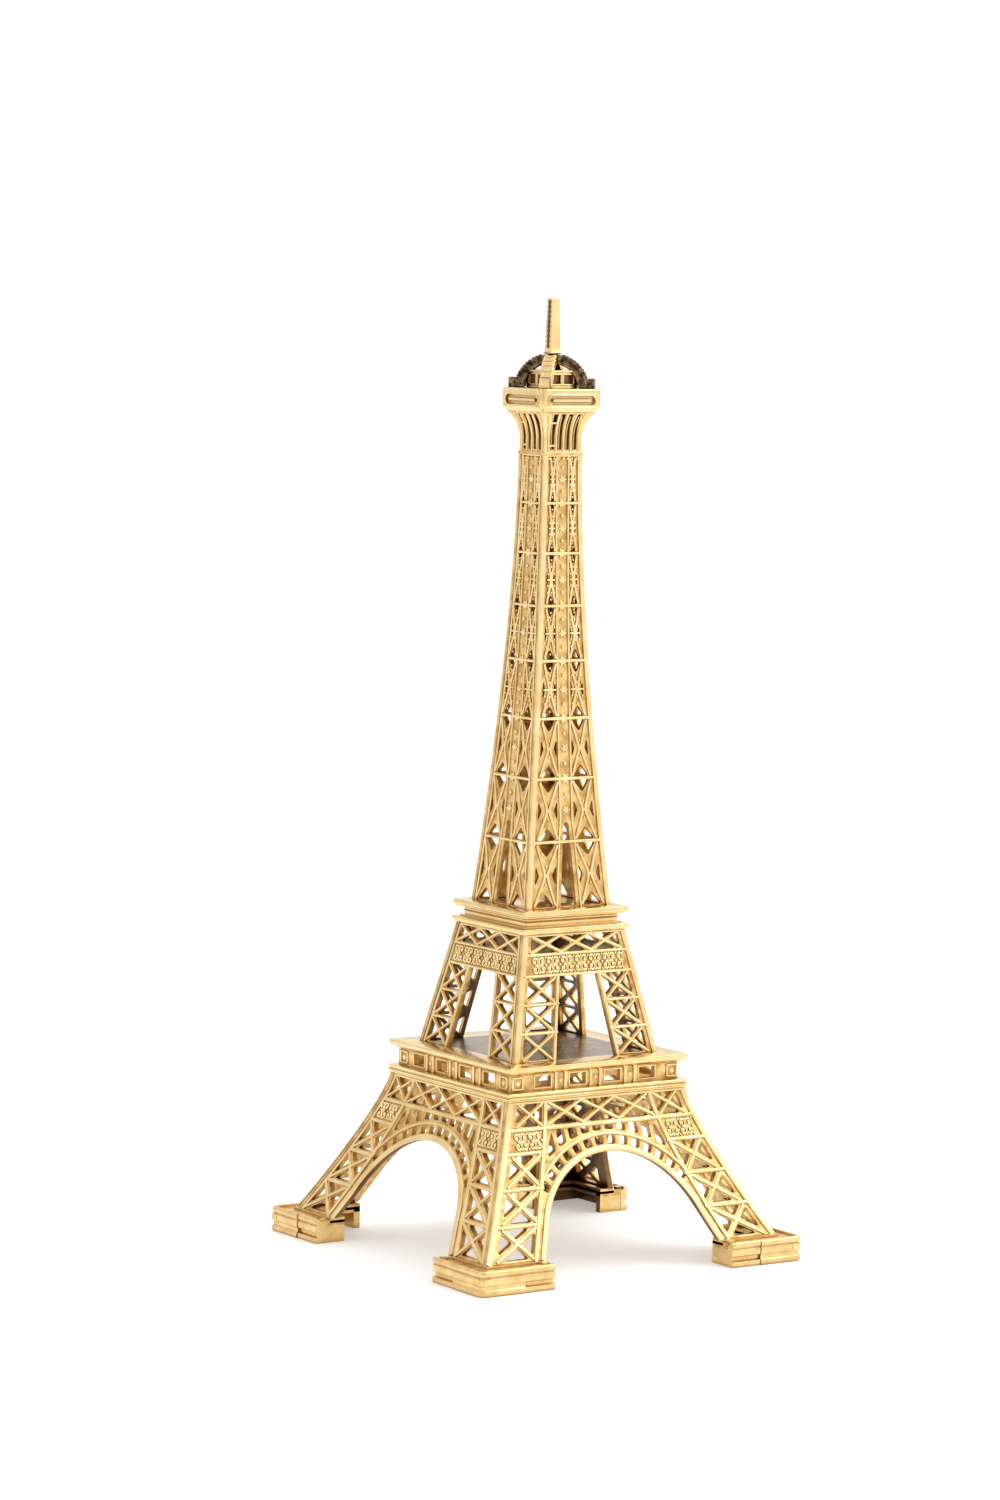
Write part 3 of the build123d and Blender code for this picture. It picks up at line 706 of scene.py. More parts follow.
def lower_panel(side):
    """A lower panel: two half-legs, the arch between them and the belt."""
    trim = cut_back(side, lower_thick)
    drawing = Drawing()
    rails = [z_lower + (scroll_low - z_lower) * i / leg_cells for i in range(leg_cells + 1)]
    gap = rail / 2
    holes = paired(ring_openings() + spandrel_slots())
    for low, high in zip(rails, rails[1:]):
        cell = leg_cell(low + gap, high - gap)
        holes += paired(crossed(cell, brace))
        cross_ribs(drawing, paired([cell]), leg_rib)
    low, high = belt_low + gap, z_cornice - gap
    cell = leg_cell(low, high)
    holes += paired(crossed(cell, belt_brace))
    belt = centred(leg_inner(low), low, leg_inner(high), high)
    holes += crossed_row(belt, belt_crosses, belt_brace)
    cross_ribs(drawing, paired([cell]) + row_cells(belt, belt_crosses), fine_rib)
    drawing.web(lower_border(trim), holes, relief, lower_thick, LOWER.rings())
    # Painted shade: inner faces stay dark bronze only low in the rear right leg, the others take the
    # darker web gold, and the arch's underside takes dark bronze.
    for i, face in enumerate(drawing.faces):
        points = [drawing.points[j] for j in face]
        if drawing.slots[i] == 1 and not in_rear_leg_shade(side, points):
            drawing.slots[i] = 2
        if drawing.slots[i] == 2 and max(arch_distance(x, z) for x, z, _ in points) < shaded_soffit:
            drawing.slots[i] = 1
    draw = drawing.strip
    edge = 0.5 if trim == 0 else 0.3
    both_sides(draw, along(lambda z: LOWER.half(z) - trim - edge, z_lower, z_cornice), 2 * edge)
    both_sides(draw, along(lambda z: leg_inner(z) + chord / 2, z_lower, z_cornice), chord_rib)
    for z in rails[1:] + [belt_low]:
        both_sides(draw, [(leg_inner(z), z), (LOWER.half(z) - trim - edge, z)], rail_rib)
    draw([(-leg_inner(belt_low), belt_low), (leg_inner(belt_low), belt_low)], belt_rib)
    top = z_cornice - gap / 2
    draw([(-LOWER.half(top) + trim, top), (LOWER.half(top) - trim, top)], top_rib)
    foot = (arch_foot_half + arch_rim / 2, z_lower)
    rim = arc(arch_radius + arch_rim / 2, start=20, count=60)
    draw([foot] + rim + [(-foot[0], foot[1])], arch_rim - 0.15)
    draw(arc(ring_outer + 0.35, start=42, count=40), 0.45)
    low, high = scroll_low + gap, belt_low - gap
    inner = leg_inner((low + high) / 2) + chord
    outer = leg_outer((low + high) / 2)
    filigree(drawing, inner, outer, low, high)
    filigree(drawing, -outer, -inner, low, high)
    name = f"lower_panel_{side}"
    finished("cast_" + name, drawing, LOWER.place(side), CAST, name)


for side in QUARTERS:
    lower_panel(side)

# Middle stage

middle_thick = 1.0
middle_top = 9.6
MIDDLE = Stage(z_middle, z_second, highest("middle_panel_front", 0), middle_top)
middle_chord = 0.8
middle_rail = 0.5
middle_brace = 0.6
middle_corner = 1.1
middle_belt = z_second - 3.1
middle_band = middle_belt - 3.2
opening_base = 5.7
opening_top = 3.5


def opening_half(z):
    """Half-width of the opening between the middle legs."""
    return opening_base + (opening_top - opening_base) * (z - z_middle) / (middle_band - z_middle)


def middle_inner(z):
    """Distance from the tower's middle to the chord strip beside the opening."""
    return opening_half(z) + middle_chord


def middle_outer(z):
    """Distance from the tower's middle to the corner strip."""
    return MIDDLE.half(z) - middle_thick - middle_corner / 2


def middle_panel(side):
    """A middle panel: two half-legs under a filigree band and a belt of crosses."""
    trim = cut_back(side, middle_thick)
    drawing = Drawing()
    gap = middle_rail / 2
    rails = [z_middle + (middle_band - z_middle) * i / 3 for i in range(4)]
    holes = []
    for low, high in zip(rails, rails[1:]):
        cell = column(middle_inner, middle_outer, low + gap, high - gap)
        holes += paired(crossed(cell, middle_brace))
        cross_ribs(drawing, paired([cell]), fine_rib)
    low, high = middle_belt + gap, z_second - gap
    belt = centred(middle_outer(low), low, middle_outer(high), high)
    holes += crossed_row(belt, belt_crosses, middle_brace)
    cross_ribs(drawing, row_cells(belt, belt_crosses), fine_rib)
    opening_high = middle_band - gap
    right = along(lambda z: MIDDLE.half(z) - trim, z_middle, z_second, step=20)[::-1]
    right += [(opening_half(z_middle), z_middle), (opening_half(opening_high), opening_high)]
    drawing.web(mirrored(right) + right, holes, relief, middle_thick)
    draw = drawing.strip
    edge = 0.45 if trim == 0 else 0.25
    corner = along(lambda z: MIDDLE.half(z) - trim - edge, z_middle, z_second, step=20)
    both_sides(draw, corner, 2 * edge)
    beside = along(lambda z: opening_half(z) + middle_chord / 2, z_middle, middle_band, step=20)
    both_sides(draw, beside, 0.6)
    for z in rails[1:3]:
        both_sides(draw, [(opening_half(z), z), (MIDDLE.half(z) - trim - edge, z)], 0.38)
    for z in (middle_band, middle_belt, z_second - gap / 2):
        reach = MIDDLE.half(z) - trim - edge
        draw([(-reach, z), (reach, z)], 0.4)
    reach = middle_outer(middle_belt)
    filigree(drawing, -reach, reach, middle_band + gap, middle_belt - gap)
    name = f"middle_panel_{side}"
    finished("cast_" + name, drawing, MIDDLE.place(side), MIDDLE_CAST, name)


for side in QUARTERS:
    middle_panel(side)

# Spire

spire_thick = 0.8
spire_top = 3.6
SPIRE = Stage(z_spire, z_capital, highest("spire_panel_front", 0), spire_top, curve=1.62)
spire_rail = 0.5
spire_corner = 1.0
spire_rib = 2.8
slit_base = 1.5
slit_top = 0.45
slit_height = 13.0
slit_chord = 1.1
fine_from = z_spire + 0.42 * (z_capital - z_spire)  # above it the crosses carry a mid-rail and beads


def spire_levels():
    """The rails of the spire, closer together towards its top."""
    heights = [0.955**i for i in range(8)]
    levels = [z_spire]
    for height in heights:
        levels.append(levels[-1] + (z_capital - z_spire) * height / sum(heights))
    return levels


def spire_inner(z):
    """Distance from the tower's middle to the near edge of the crosses."""
    share = (z - z_spire) / slit_height
    if share > 1:
        return spire_rib / 2
    return slit_base + (slit_top - slit_base) * share + slit_chord


def spire_outer(z):
    """Distance from the tower's middle to the corner strip."""
    return SPIRE.half(z) - spire_thick - spire_corner / 2


def inside(cell, across, up):
    """A point at shares of a cell's width and height."""
    (ax, az), (bx, bz), (cx, cz), (dx, dz) = cell
    left = (ax + (dx - ax) * up, az + (dz - az) * up)
    right = (bx + (cx - bx) * up, bz + (cz - bz) * up)
    return (left[0] + (right[0] - left[0]) * across, left[1] + (right[1] - left[1]) * across)


def gusseted(cell):
    """The openings round a broad-centred cross: a triangle on each rail, a notch at each side."""
    shapes = (
        ((0.05, 0), (0.95, 0), (0.5, 0.21)),
        ((0.95, 1), (0.05, 1), (0.5, 0.79)),
        ((0, 0.33), (0.18, 0.5), (0, 0.67)),
        ((1, 0.33), (1, 0.67), (0.82, 0.5)),
    )
    return [[inside(cell, across, up) for across, up in shape] for shape in shapes]


def spire_cross(drawing, cell):
    """The raised edges of the broad cross in a cell, and the small ornaments at its centre."""
    left = ((0, 0.02), (0.42, 0.45), (0.42, 0.55), (0, 0.98))
    right = ((1, 0.02), (0.58, 0.45), (0.58, 0.55), (1, 0.98))
    for ends in (left, right):
        drawing.strip([inside(cell, across, up) for across, up in ends], 0.42, 0.02)
    for up, radius in ((0.5, 0.34), (0.36, 0.2), (0.64, 0.2)):
        drawing.dome(*inside(cell, 0.5, up), radius, 0.04, sides=8)
    if cell[0][1] > fine_from:
        drawing.strip([inside(cell, 0, 0.5), inside(cell, 1, 0.5)], 0.3, 0.03)
        for across in (0.1, 0.5, 0.9):
            for up in (0.1, 0.24, 0.38, 0.62, 0.76, 0.9):
                drawing.dome(*inside(cell, across, up), 0.2, 0.02, sides=6)


def spire_panel(side):
    """A spire panel: two columns of crosses either side of a rib that parts at its foot."""
    trim = cut_back(side, spire_thick)
    drawing = Drawing()
    gap = spire_rail / 2
    low, high = z_spire + gap, z_spire + slit_height
    slit = centred(spire_inner(low) - slit_chord, low, slit_top, high)
    slit.insert(3, (0, high + slit_top))
    holes = [slit]
    levels = spire_levels()
    for low, high in zip(levels, levels[1:]):
        cell = column(spire_inner, spire_outer, low + gap, high - gap)
        holes += paired(gusseted(cell))
        spire_cross(drawing, cell)
        spire_cross(drawing, mirrored(cell))
    border = along(lambda z: SPIRE.half(z) - trim, z_spire, z_capital)
    drawing.web(mirrored(border) + border, holes, relief, spire_thick, SPIRE.rings(), slots=(2, 2))
    draw = drawing.strip
    edge = 0.42 if trim == 0 else 0.22
    corner = along(lambda z: SPIRE.half(z) - trim - edge, z_spire, z_capital, step=3)
    both_sides(draw, corner, 2 * edge)
    beside = along(lambda z: spire_inner(z) - 0.28, z_spire, z_capital, step=1.5)
    both_sides(draw, beside, 0.36, 0.03)
    for z in levels[1:]:
        reach = SPIRE.half(z) - trim - edge
        draw([(-reach, z), (reach, z)], 0.42)
    rosettes(drawing, levels)
    name = f"spire_panel_{side}"
    finished("cast_" + name, drawing, SPIRE.place(side), CAST, name)


def rosettes(drawing, levels):
    """Flowers and beads up the middle rib, and a row of beads under the capital."""
    for low, high in zip(levels[1:], levels[2:]):
        for up, radius, petals in ((0, 0.62, 6), (0.25, 0.3, 0), (0.5, 0.5, 6), (0.75, 0.3, 0)):
            z = low + (high - low) * up
            if z > z_spire + slit_height + 2:
                drawing.dome(0, z, radius, -0.02)
                drawing.petals(0, z, radius * 1.15, petals, 0.17, 0.05)
    for i in range(7):
        drawing.dome((i - 3) * 0.85, z_capital - 0.5, 0.24, -0.02, sides=8)


for side in QUARTERS:
    spire_panel(side)

# Plates, turned from a moulded edge profile of (inset from the edge, height above the foot)

plate_corner = 0.35


def flat(x, y, z):
    """Leaves a point where it is."""
    return Vector((x, y, z))


def rounded_square(half, radius, z, steps=4):
    """Points round a square with eased corners, at one height."""
    points = []
    for turn in range(4):
        centre = Matrix.Rotation(math.radians(90 * turn), 2) @ Vector((half - radius, half - radius))
        for step in range(steps + 1):
            angle = math.radians(90 * turn + 90 * step / steps)
            x = centre.x + radius * math.cos(angle)
            points.append((x, centre.y + radius * math.sin(angle), z))
    return points


def edge_rings(node, profile):
    """The rings of a plate's moulded edge."""
    low, half = lowest(node, 2), highest(node, 0)
    return [rounded_square(half - back, plate_corner, low + up) for back, up in profile]


def moulded(node, profile, middle=None):
    """A plate with a moulded edge, and a middle in painted shade when given its half-width."""
    drawing = Drawing()
    rings = edge_rings(node, profile)
    if middle:
        rings.append(rounded_square(middle, plate_corner, highest(node, 2)))
    drawing.loft(rings)
    # Painted shade: the plate's middle takes the dark bronze.
    if middle:
        drawing.slots[-1] = 1
    finished("cast_" + node, drawing, flat, [smooth_gold, shade_plate], node)


def moulded_ring(node, opening, profile):
    """A square ring with a moulded edge."""
    drawing = Drawing()
    inner = [rounded_square(opening, plate_corner, end(node, 2)) for end in (highest, lowest)]
    drawing.loft(edge_rings(node, profile) + inner, looped=True)
    finished("cast_" + node, drawing, flat, [smooth_gold], node)


gallery_thick = 1.0
gallery_half = gallery_thick - highest("gallery_wall_front", 1)
cornice_shelf = 1.5
moulded_ring(
    "first_cornice",
    gallery_half - gallery_thick - cornice_shelf,
    [(0.45, 0), (0.3, 0.05), (0.22, 0.15), (0.22, 0.3), (0.08, 0.36), (0, 0.46), (0, 0.6), (0.08, 0.68),
     (0.2, 0.7), (0.2, 0.82), (0.06, 0.88), (0, 0.96), (0, 1.28), (0.06, 1.37), (0.16, 1.4)],
)
moulded(
    "first_deck",
    [(0.9, 0), (0.75, 0.06), (0.65, 0.2), (0.5, 0.3), (0.2, 0.38), (0.14, 0.46), (0.14, 0.54),
     (0.03, 0.6), (0, 0.7), (0, 1.1), (0.05, 1.2), (0.16, 1.25)],
    middle=MIDDLE.half(z_middle) - middle_thick,
)
moulded(
    "second_cornice",
    [(0.5, 0), (0.35, 0.08), (0.2, 0.2), (0.16, 0.34), (0.04, 0.4), (0, 0.5), (0, 0.84), (0.06, 0.95),
     (0.16, 1.0)],
)
moulded(
    "second_deck",
    [(0.75, 0), (0.75, 0.22), (1.0, 0.3), (1.3, 0.34), (1.3, 0.8), (1.18, 0.86), (1.12, 0.94),
     (1.18, 1.02), (1.3, 1.08), (1.3, 1.3), (1.1, 1.42), (0.8, 1.5), (0.35, 1.58), (0.25, 1.66),
     (0.25, 1.8), (0.08, 1.86), (0, 1.96), (0, 2.5), (0.06, 2.64), (0.18, 2.7)],
)

# Gallery

GALLERY = Stage(z_gallery, z_deck, gallery_half, gallery_half)
gallery_play = 0.03  # between the ends of the side walls and the other two
gallery_root = 0.4  # how far a wall stands in the cornice's groove
window_pitch = 6.6
window_half = 1.5
pilaster_half = 0.9
sill = z_gallery + 0.5
lintel = sill + 1.8


def framed(drawing, middle, half, low, high, width, front):
    """A raised moulding round a rectangle."""
    left, right = middle - half - width / 2, middle + half + width / 2
    for z in (low - width / 2, high + width / 2):
        drawing.strip([(left - width / 2, z), (right + width / 2, z)], width, front, 0.1)
    for x in (left, right):
        drawing.strip([(x, low), (x, high)], width, front, 0.1)


def gallery_wall(side):
    """A gallery wall: framed windows between paired pilasters, and a flowered block at each corner."""
    long = side in ("front", "rear")
    length = gallery_half - (0 if long else gallery_thick + gallery_play)
    drawing = Drawing()
    windows = [window_pitch * (i - 1.5) for i in range(4)]
    holes = [box_outline(x, window_half, sill, lintel) for x in windows]
    border = box_outline(0, length, z_gallery - gallery_root, z_deck)
    drawing.web(border, holes, 0, gallery_thick, slots=(2, 2))
    for x in windows:
        framed(drawing, x, window_half, sill, lintel, 0.22, -0.06)
    for pier in (-window_pitch, 0, window_pitch):
        for x in (pier - pilaster_half, pier + pilaster_half):
            drawing.strip([(x, z_gallery), (x, z_deck)], 0.5, -0.2, 0.1)
            for z, width in ((z_gallery + 0.18, 0.34), (z_deck - 0.16, 0.3)):
                drawing.strip([(x - 0.36, z), (x + 0.36, z)], width, -0.22, 0.1)
        drawing.dome(pier, (sill + lintel) / 2, 0.34, -0.14, 0.1)
    z = (z_gallery + z_deck) / 2
    inwards = 1.25 if long else 0.8
    for x in (inwards - length, length - inwards):
        framed(drawing, x, 0.75, z - 0.75, z + 0.75, 0.3, -0.2)
        drawing.dome(x, z, 0.42, -0.2, 0.1)
        drawing.petals(x, z, 0.5, 8, 0.15, -0.1, 0.1)
    name = f"gallery_wall_{side}"
    finished("cast_" + name, drawing, GALLERY.place(side), CAST, name)


for side in QUARTERS:
    gallery_wall(side)

# The simpler castings keep their own shapes, with eased edges, and carry ornaments

SIMPLE = {
    "capital": shaded_flute_gold,
    "top_platform": smooth_gold,
    "cabin": gold,
    "cupola_arch_lower": gold,
    "cupola_arch_upper": arch_bronze,
    "antenna": gold,
}
cast_edge = 0.12


def eased(shape, material):
    """Gives a CAD node its finish and softly rounded cast edges."""
    shape.data.materials.clear()
    shape.data.materials.append(material)
    weld = shape.modifiers.new("weld", "WELD")
    weld.merge_threshold = 1e-6
    bevel = shape.modifiers.new("ease", "BEVEL")
    bevel.width = cast_edge * MM
    bevel.segments = 2
    bevel.limit_method = "ANGLE"
    bevel.angle_limit = math.radians(40)
    shape.modifiers.new("normals", "WEIGHTED_NORMAL")


for node, material in SIMPLE.items():
    eased(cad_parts[node], material)


class Flared(Stage):
    """A stage whose half-width is given by an outline."""

    def __init__(self, outline):
        self.outline = outline

    def half(self, z):
        """Half-width of the outer faces at a height."""
        for (half_low, low), (half_high, high) in zip(self.outline, self.outline[1:]):
            if z <= high:
                return half_low + (half_high - half_low) * (z - low) / (high - low)
        return self.outline[-1][0]


waist = 3.5
flare = 1.5
flutes = z_capital + 0.5
flute_rise = z_platform - flutes
shares = [(0, 0), (0, 0.4), (0.12, 0.58), (0.36, 0.76), (0.7, 0.9), (1, 1)]
CAPITAL = Flared([(waist + flare * out, flutes + flute_rise * up) for out, up in shares])


def fanned(x, z):
    """Where a flute that starts at x has spread to at a height."""
    return x * (CAPITAL.half(z) / waist) ** 0.6


def capital_ribs(side):
    """Round ribs between the flutes, beads in them, bright corner strips and the collar."""
    drawing = Drawing()
    pitch = 2 * waist / 5
    for i in range(5):
        x = pitch * (i - 2)
        rib = along(lambda z: fanned(x, z), flutes, z_platform - 0.2, step=0.5)
        drawing.strip(rib, 0.34, -0.1, 0.12)
        if i < 4:
            bead = along(lambda z: fanned(x + pitch / 2, z), flutes, z_platform - 0.2, step=0.5)
            drawing.wire(bead[1:-1], 0.12, 0.34)
    corner = along(lambda z: CAPITAL.half(z) - 0.22, flutes, z_platform, step=0.5)
    both_sides(drawing.strip, corner, 0.44, -0.02, 0.2)
    for z in (flutes + flute_rise * 0.16, flutes + flute_rise * 0.72):
        drawing.strip([(-pitch * 1.9, z), (-pitch * 1.1, z)], 0.34, 0, 0.5)
    for z in (z_capital + 0.12, flutes - 0.08):
        drawing.strip([(-waist - 0.1, z), (waist + 0.1, z)], 0.22, -0.18, 0.1)
    finished(f"capital_ribs_{side}", drawing, CAPITAL.place(side), [gold])


platform_half = highest("top_platform", 0)
PLATFORM = Stage(z_platform, z_cabin, platform_half, platform_half)
groove_half = platform_half - 1.3
groove_radius = 0.9


def platform_ridges(side):
    """The round ridge in the platform's groove, the groove's lip and a bead along the top edge."""
    drawing = Drawing()
    middle = (z_platform + z_cabin) / 2
    drawing.wire([(-groove_half + 0.85, middle), (groove_half - 0.85, middle)], 0.27, 0.24, 8)
    lip = []
    for end in (1, -1):
        for step in range(9):
            angle = math.radians(180 * step / 8 - 90 * end)
            x = end * (groove_half - 0.8) + groove_radius * math.cos(angle)
            lip.append((x, middle + groove_radius * math.sin(angle)))
    drawing.wire(lip + lip[:1], 0.11, 0.0)
    for z in (z_platform + 0.72, z_cabin - 0.16):
        drawing.wire([(-platform_half + 0.8, z), (platform_half - 0.8, z)], 0.12, 0.02)
    finished(f"platform_ridges_{side}", drawing, PLATFORM.place(side), [smooth_gold])


cabin_half = highest("cabin", 0)
cabin_top = highest("cabin", 2)
CABIN = Stage(z_cabin, cabin_top, cabin_half, cabin_half)


def cabin_frames(side):
    """Window frames and dark panes, a plinth and an eave on one side of the cabin."""
    drawing = Drawing()
    middle = (z_cabin + cabin_top) / 2
    for x in (-1.2, 1.2):
        framed(drawing, x, 0.85, middle - 0.7, middle + 0.7, 0.22, -0.1)
        pane = box_outline(x, 0.84, middle - 0.69, middle + 0.69)
        drawing.web(pane, [], 0.3, 0.56, slots=(1, 1))
    drawing.strip([(-1.85, cabin_top - 0.14), (1.85, cabin_top - 0.14)], 0.28, -0.22, 0.1)
    drawing.strip([(-2.2, z_cabin + 0.14), (2.2, z_cabin + 0.14)], 0.28, -0.16, 0.1)
    drawing.strip([(0, z_cabin + 0.2), (0, cabin_top - 0.2)], 0.3, -0.12, 0.1)
    finished(f"cabin_frames_{side}", drawing, CABIN.place(side), [gold, bronze_and_shade])


def diagonal(degrees):
    """Places a drawing in the upright plane of a cupola arch, its depth across the arch."""
    turn = Matrix.Rotation(math.radians(degrees), 3, "Z")

    def bend(x, z, depth):
        return turn @ Vector((x, depth, z))

    return bend


cupola_span = platform_half * math.sqrt(2) - 2.36  # half the distance between an arch's feet
cupola_rise = z_antenna - z_cabin
arch_half = 0.8  # half the width of an arch's band


def on_cupola(degrees, inwards):
    """A point on a cupola arch, some way inwards from its outer line."""
    angle = math.radians(degrees)
    span, rise = cupola_span - inwards, cupola_rise - inwards
    return (span * math.cos(angle), z_cabin + rise * math.sin(angle))


def cupola_ridges(name, degrees, material, ridges):
    """Edge beads along an arch, the close ridges across its back, and a row of bosses on its sides."""
    drawing = Drawing()
    for inwards in (0.16, 1.3):
        for depth in (0.02 - arch_half, arch_half - 0.02):
            for start, end in ((2, 76), (104, 178)):
                path = [on_cupola(start + (end - start) * i / 16, inwards) for i in range(17)]
                drawing.wire(path, 0.2, depth)
    for i in range(ridges):
        angle = 8 + 164 * i / (ridges - 1)
        if abs(angle - 90) < 17:
            continue
        x, z = on_cupola(angle, 0.08)
        ring = [(x + across, z + up) for across, up in around(0.3, 6)]
        ends = (0.15 - arch_half, arch_half - 0.15)
        drawing.loft([[(*point, depth) for point in ring] for depth in ends])
        for depth in (-arch_half, arch_half):
            drawing.dome(*on_cupola(angle, 0.65), 0.3, depth * 1.22, 0, sides=6)
    finished(name, drawing, diagonal(degrees), [material])


antenna_top = highest("antenna", 2)
mast_base = highest("antenna", 0)
mast_tip = mast_base * 0.75
MAST = Flared([(mast_base, z_antenna), (mast_tip, antenna_top)])


def mast_beads(side):
    """The sunken row of beads on one side of the mast."""
    drawing = Drawing()
    drawing.strip([(0, z_antenna + 0.9), (0, antenna_top - 0.3)], 0.6, -0.05, 0.2)
    count = 10
    for i in range(count):
        z = z_antenna + 1.2 + (antenna_top - z_antenna - 1.8) * i / (count - 1)
        drawing.dome(0, z, 0.34, -0.2, 0.1, sides=8)
    finished(f"mast_beads_{side}", drawing, MAST.place(side), [bronze_and_shade])


def mast_collar():
    """The small moulded foot of the mast."""
    drawing = Drawing()
    profile = [(0.0, 0.02), (0.14, 0.08), (0.2, 0.22), (0.14, 0.36), (0.03, 0.44), (0.08, 0.6)]
    profile += [(0.03, 0.72), (-0.1, 0.78)]
    drawing.loft([rounded_square(mast_base + out, 0.2, z_antenna + up) for out, up in profile])
    finished("mast_collar", drawing, flat, [gold])


# Feet, drawn as (x, y, z) for the front left foot

foot_near = -highest("foot_front_right", 0)  # outer faces
foot_far = -lowest("foot_front_right", 0)  # ends of the arms
foot_corner = 1.1
foot_step = foot_far - 5.5  # where the skirt is set back
foot_ledge = foot_near + 5.6  # width of the arms
foot_wall = 1.2  # thickness of the end walls


def foot_profile(groove, setback=0.0):
    """The skirt's moulding as (distance in from the face, height), with a groove of some depth."""
    part = groove * 0.6
    face = [(0.16, 0), (0.04, 0.12), (0, 0.3), (0, 0.7), (0.08, 0.9), (part, 1.0), (groove, 1.08)]
    face += [(groove, 1.6), (part, 1.68), (0.1, 1.8), (0.04, 1.98), (0.04, 2.66), (0.12, 2.86)]
    face += [(0.24, 2.93), (0.24, 3.05), (0.08, 3.14), (0, 3.3), (0, 3.58), (0.08, 3.82), (0.24, 3.96)]
    face += [(0.46, 4.0), (0.66, 3.94), (0.78, 3.78), (0.82, 3.5), (1.3, 3.4), (1.3, 0)]
    return [(back + setback, up) for back, up in face]


def corner_ring(profile, degrees):
    """The profile where the skirt turns its corner."""
    angle = math.radians(degrees)
    ring = []
    for back, up in profile:
        radius = max(foot_corner - back, 0.03)
        middle = foot_near + back + radius
        ring.append((middle - radius * math.cos(angle), middle - radius * math.sin(angle), up))
    return ring


def swapped(points):
    """The same points on the foot's other arm."""
    return [(y, x, *rest) for x, y, *rest in points]


def arm_ring(profile, position):
    """The profile at a place along the front arm."""
    return [(position, foot_near + back, up) for back, up in profile]


def foot(name, degrees):
    """An L-shaped foot: a moulded skirt in two steps, a sunk top, and a pad under the leg."""
    near, far, ledge = foot_near, foot_far, foot_ledge
    drawing = Drawing()
    main, end = foot_profile(0.26), foot_profile(0.5, 0.16)
    turns = [corner_ring(main, 22.5 * i) for i in range(5)]
    drawing.loft([swapped(arm_ring(main, foot_step))] + turns + [arm_ring(main, foot_step)])
    wall = [(far - foot_wall, near + 1.0), (far - 0.05, near + 1.0)]
    wall += [(far - 0.05, ledge), (far - foot_wall, ledge)]
    block = rounded(box_outline(far - 0.8, 0.55, near + 1.1, near + 2.2), 0.2)
    emblem = rounded(box_outline(near + 1.35, 0.7, 1.9, 2.8), 0.15)
    for other, order in ((list, 1), (swapped, -1)):
        drawing.loft([other(arm_ring(end, place)) for place in (foot_step - 0.1, far)])
        drawing.web(other(wall)[::order], [], 0, 3.2, slots=(0, 0))
        drawing.loft([[(x, y, up) for x, y in other(block)] for up in (z_lower - 0.5, z_lower)])
        drawing.loft([other([(x, y, z) for x, z in emblem]) for y in (near, near + 0.3)])
    # The lower, sunk band of the top takes the darker web gold as painted shade.
    for edge, low, high, slot in ((near + 0.7, 2.6, 3.62, 2), (near + 2.85, 3.0, 4.0, 0)):
        tip = far - 0.04
        outline = [(edge, edge), (tip, edge), (tip, ledge), (ledge, ledge), (ledge, tip), (edge, tip)]
        drawing.web(outline, [], low, high, slots=(slot, slot))
    turn = Matrix.Rotation(math.radians(degrees), 3, "Z")
    node = f"foot_{name}"
    piece = finished("cast_" + node, drawing, lambda x, y, z: turn @ Vector((x, y, z)), FOOT_CAST, node)
    # Painted shade: the inward faces of the arms are dark bronze on the rear right foot and darker web
    # gold on the others.
    inward = turn @ Vector((0.7, 0.7, 0))
    for face in piece.data.polygons:
        centre = turn.transposed() @ face.center / MM
        if face.normal.dot(inward) > 0.5 and max(centre.x, centre.y) < far - 0.2:
            face.material_index = 1 if name == "rear_right" else 2


for side in QUARTERS:
    capital_ribs(side)
    platform_ridges(side)
    cabin_frames(side)
for side in ("left", "right"):
    mast_beads(side)
mast_collar()
cupola_ridges("cupola_beads_pale", 45, gold, 15)
cupola_ridges("cupola_beads_dark", -45, arch_bronze, 27)
for name, degrees in (("front_left", 0), ("front_right", 90), ("rear_right", 180), ("rear_left", 270)):
    foot(name, degrees)


# Studio


def direction(azimuth, elevation):
    """The direction from the tower towards an azimuth and elevation, in degrees from the front."""
    a, e = math.radians(azimuth), math.radians(elevation)
    return Vector((math.sin(a) * math.cos(e), -math.cos(a) * math.cos(e), math.sin(e)))


def studio_floor(half=6.0):
    """The floor that the tower stands on."""
    mesh = bpy.data.meshes.new("floor")
    corners = [(-half, -half, 0), (half, -half, 0), (half, half, 0), (-half, half, 0)]
    mesh.from_pydata(corners, [], [(0, 1, 2, 3)])
    mesh.materials.append(plain_floor("studio_floor"))
    floor = bpy.data.objects.new("floor", mesh)
    bpy.context.scene.collection.objects.link(floor)


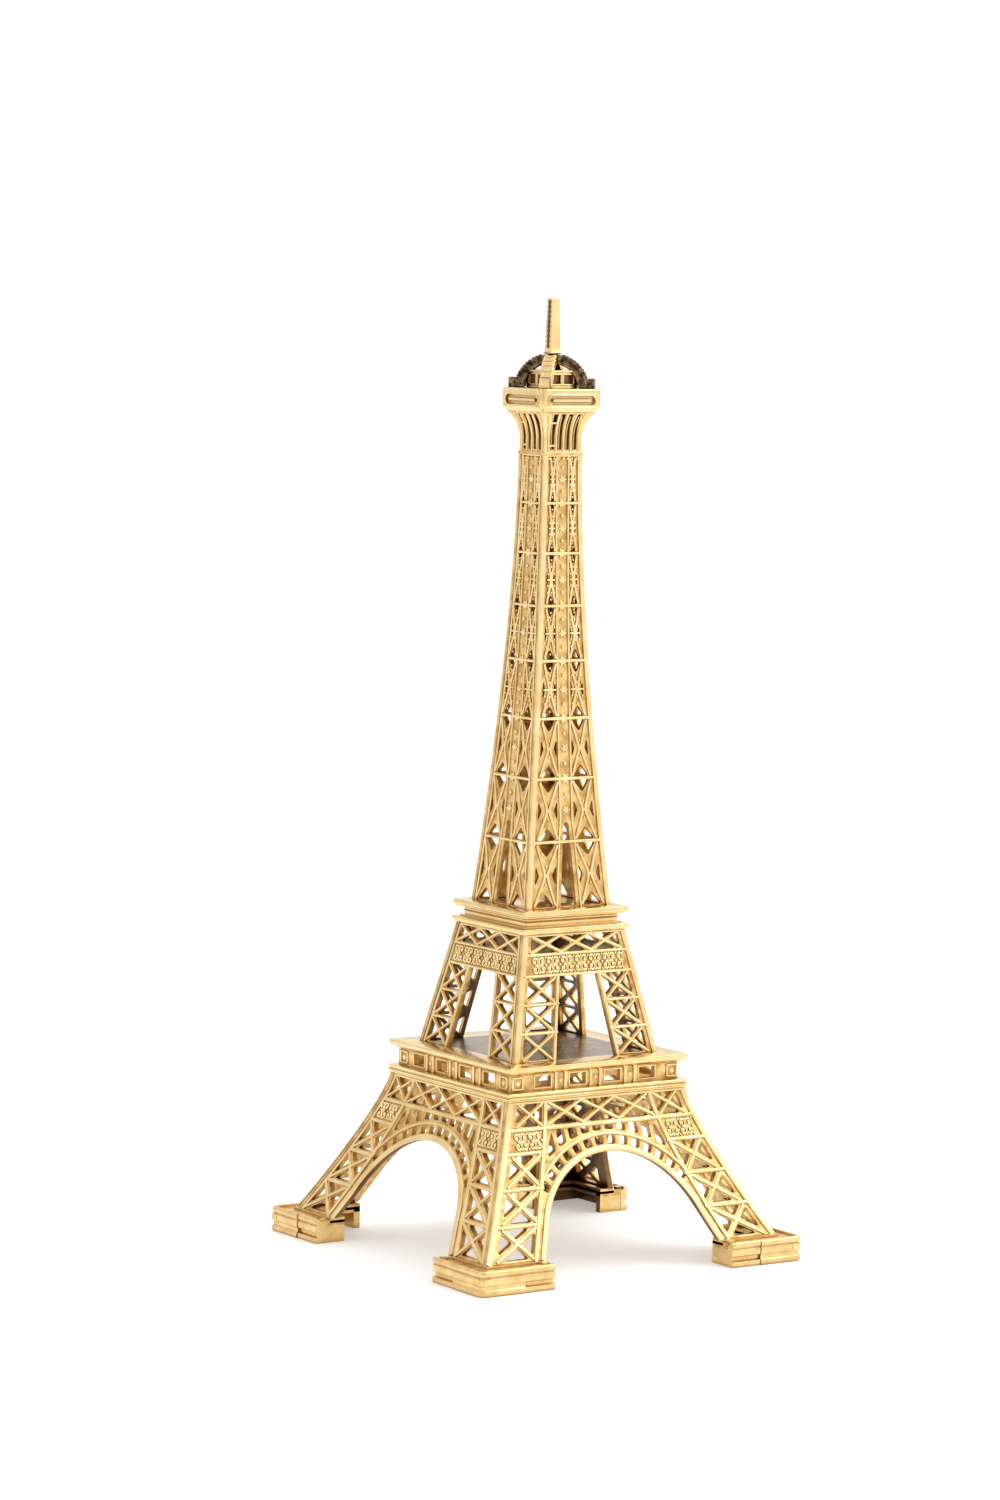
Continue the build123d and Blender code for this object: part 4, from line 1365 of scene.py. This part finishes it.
def surround(left, right):
    """A white surround that is dimmer on the tower's left."""
    world = bpy.data.worlds.new("surround")
    bpy.context.scene.world = world
    world.use_nodes = True
    nodes, links = world.node_tree.nodes, world.node_tree.links
    coordinates = nodes.new("ShaderNodeTexCoord")
    split = nodes.new("ShaderNodeSeparateXYZ")
    links.new(coordinates.outputs["Generated"], split.inputs["Vector"])
    strength = ranged(nodes, links, split.outputs["X"], left, right, -0.7, 0.2)
    background = nodes["Background"]
    background.inputs["Color"].default_value = (1, 0.99, 0.97, 1)
    links.new(strength.outputs["Result"], background.inputs["Strength"])


def soft_light(name, azimuth, elevation, size, power, distance=0.8, height=0.07):
    """A square light that points at the middle of the tower; sizes in metres."""
    data = bpy.data.lights.new(name, "AREA")
    data.size = size
    data.energy = power
    light = bpy.data.objects.new(name, data)
    towards = direction(azimuth, elevation)
    light.location = Vector((0, 0, height)) + towards * distance
    light.rotation_mode = "QUATERNION"
    light.rotation_quaternion = (-towards).to_track_quat("-Z", "Y")
    bpy.context.scene.collection.objects.link(light)


def camera(azimuth, elevation, roll, distance, aim, lens):
    """A long-lens camera that looks a little down at the tower's near corner."""
    a, r = math.radians(azimuth), math.radians(roll)
    back = direction(azimuth, elevation)
    right = Vector((math.cos(a), math.sin(a), 0))
    up = back.cross(right)
    across = right * math.cos(r) - up * math.sin(r)
    upward = right * math.sin(r) + up * math.cos(r)
    data = bpy.data.cameras.new("camera")
    data.lens = lens
    data.clip_start = 0.01
    data.clip_end = 50
    view = bpy.data.objects.new("camera", data)
    middle = Vector((0, 0, aim[2])) + across * aim[0] + upward * aim[1] + back * distance
    turn = Matrix((across, upward, back)).transposed().to_4x4()
    view.matrix_world = Matrix.Translation(middle * MM) @ turn
    bpy.context.scene.collection.objects.link(view)
    bpy.context.scene.camera = view


studio_floor()
surround(0.78, 1.06)
soft_light("key", 62, 48, 0.7, 3.2)
soft_light("fill", -100, 35, 0.6, 0.8)
bpy.context.scene.view_settings.view_transform = "Standard"
camera(-34.23, 5.59, roll=-1.18, distance=787.2, aim=(-6.84, 4.07, 75.0), lens=119.9)
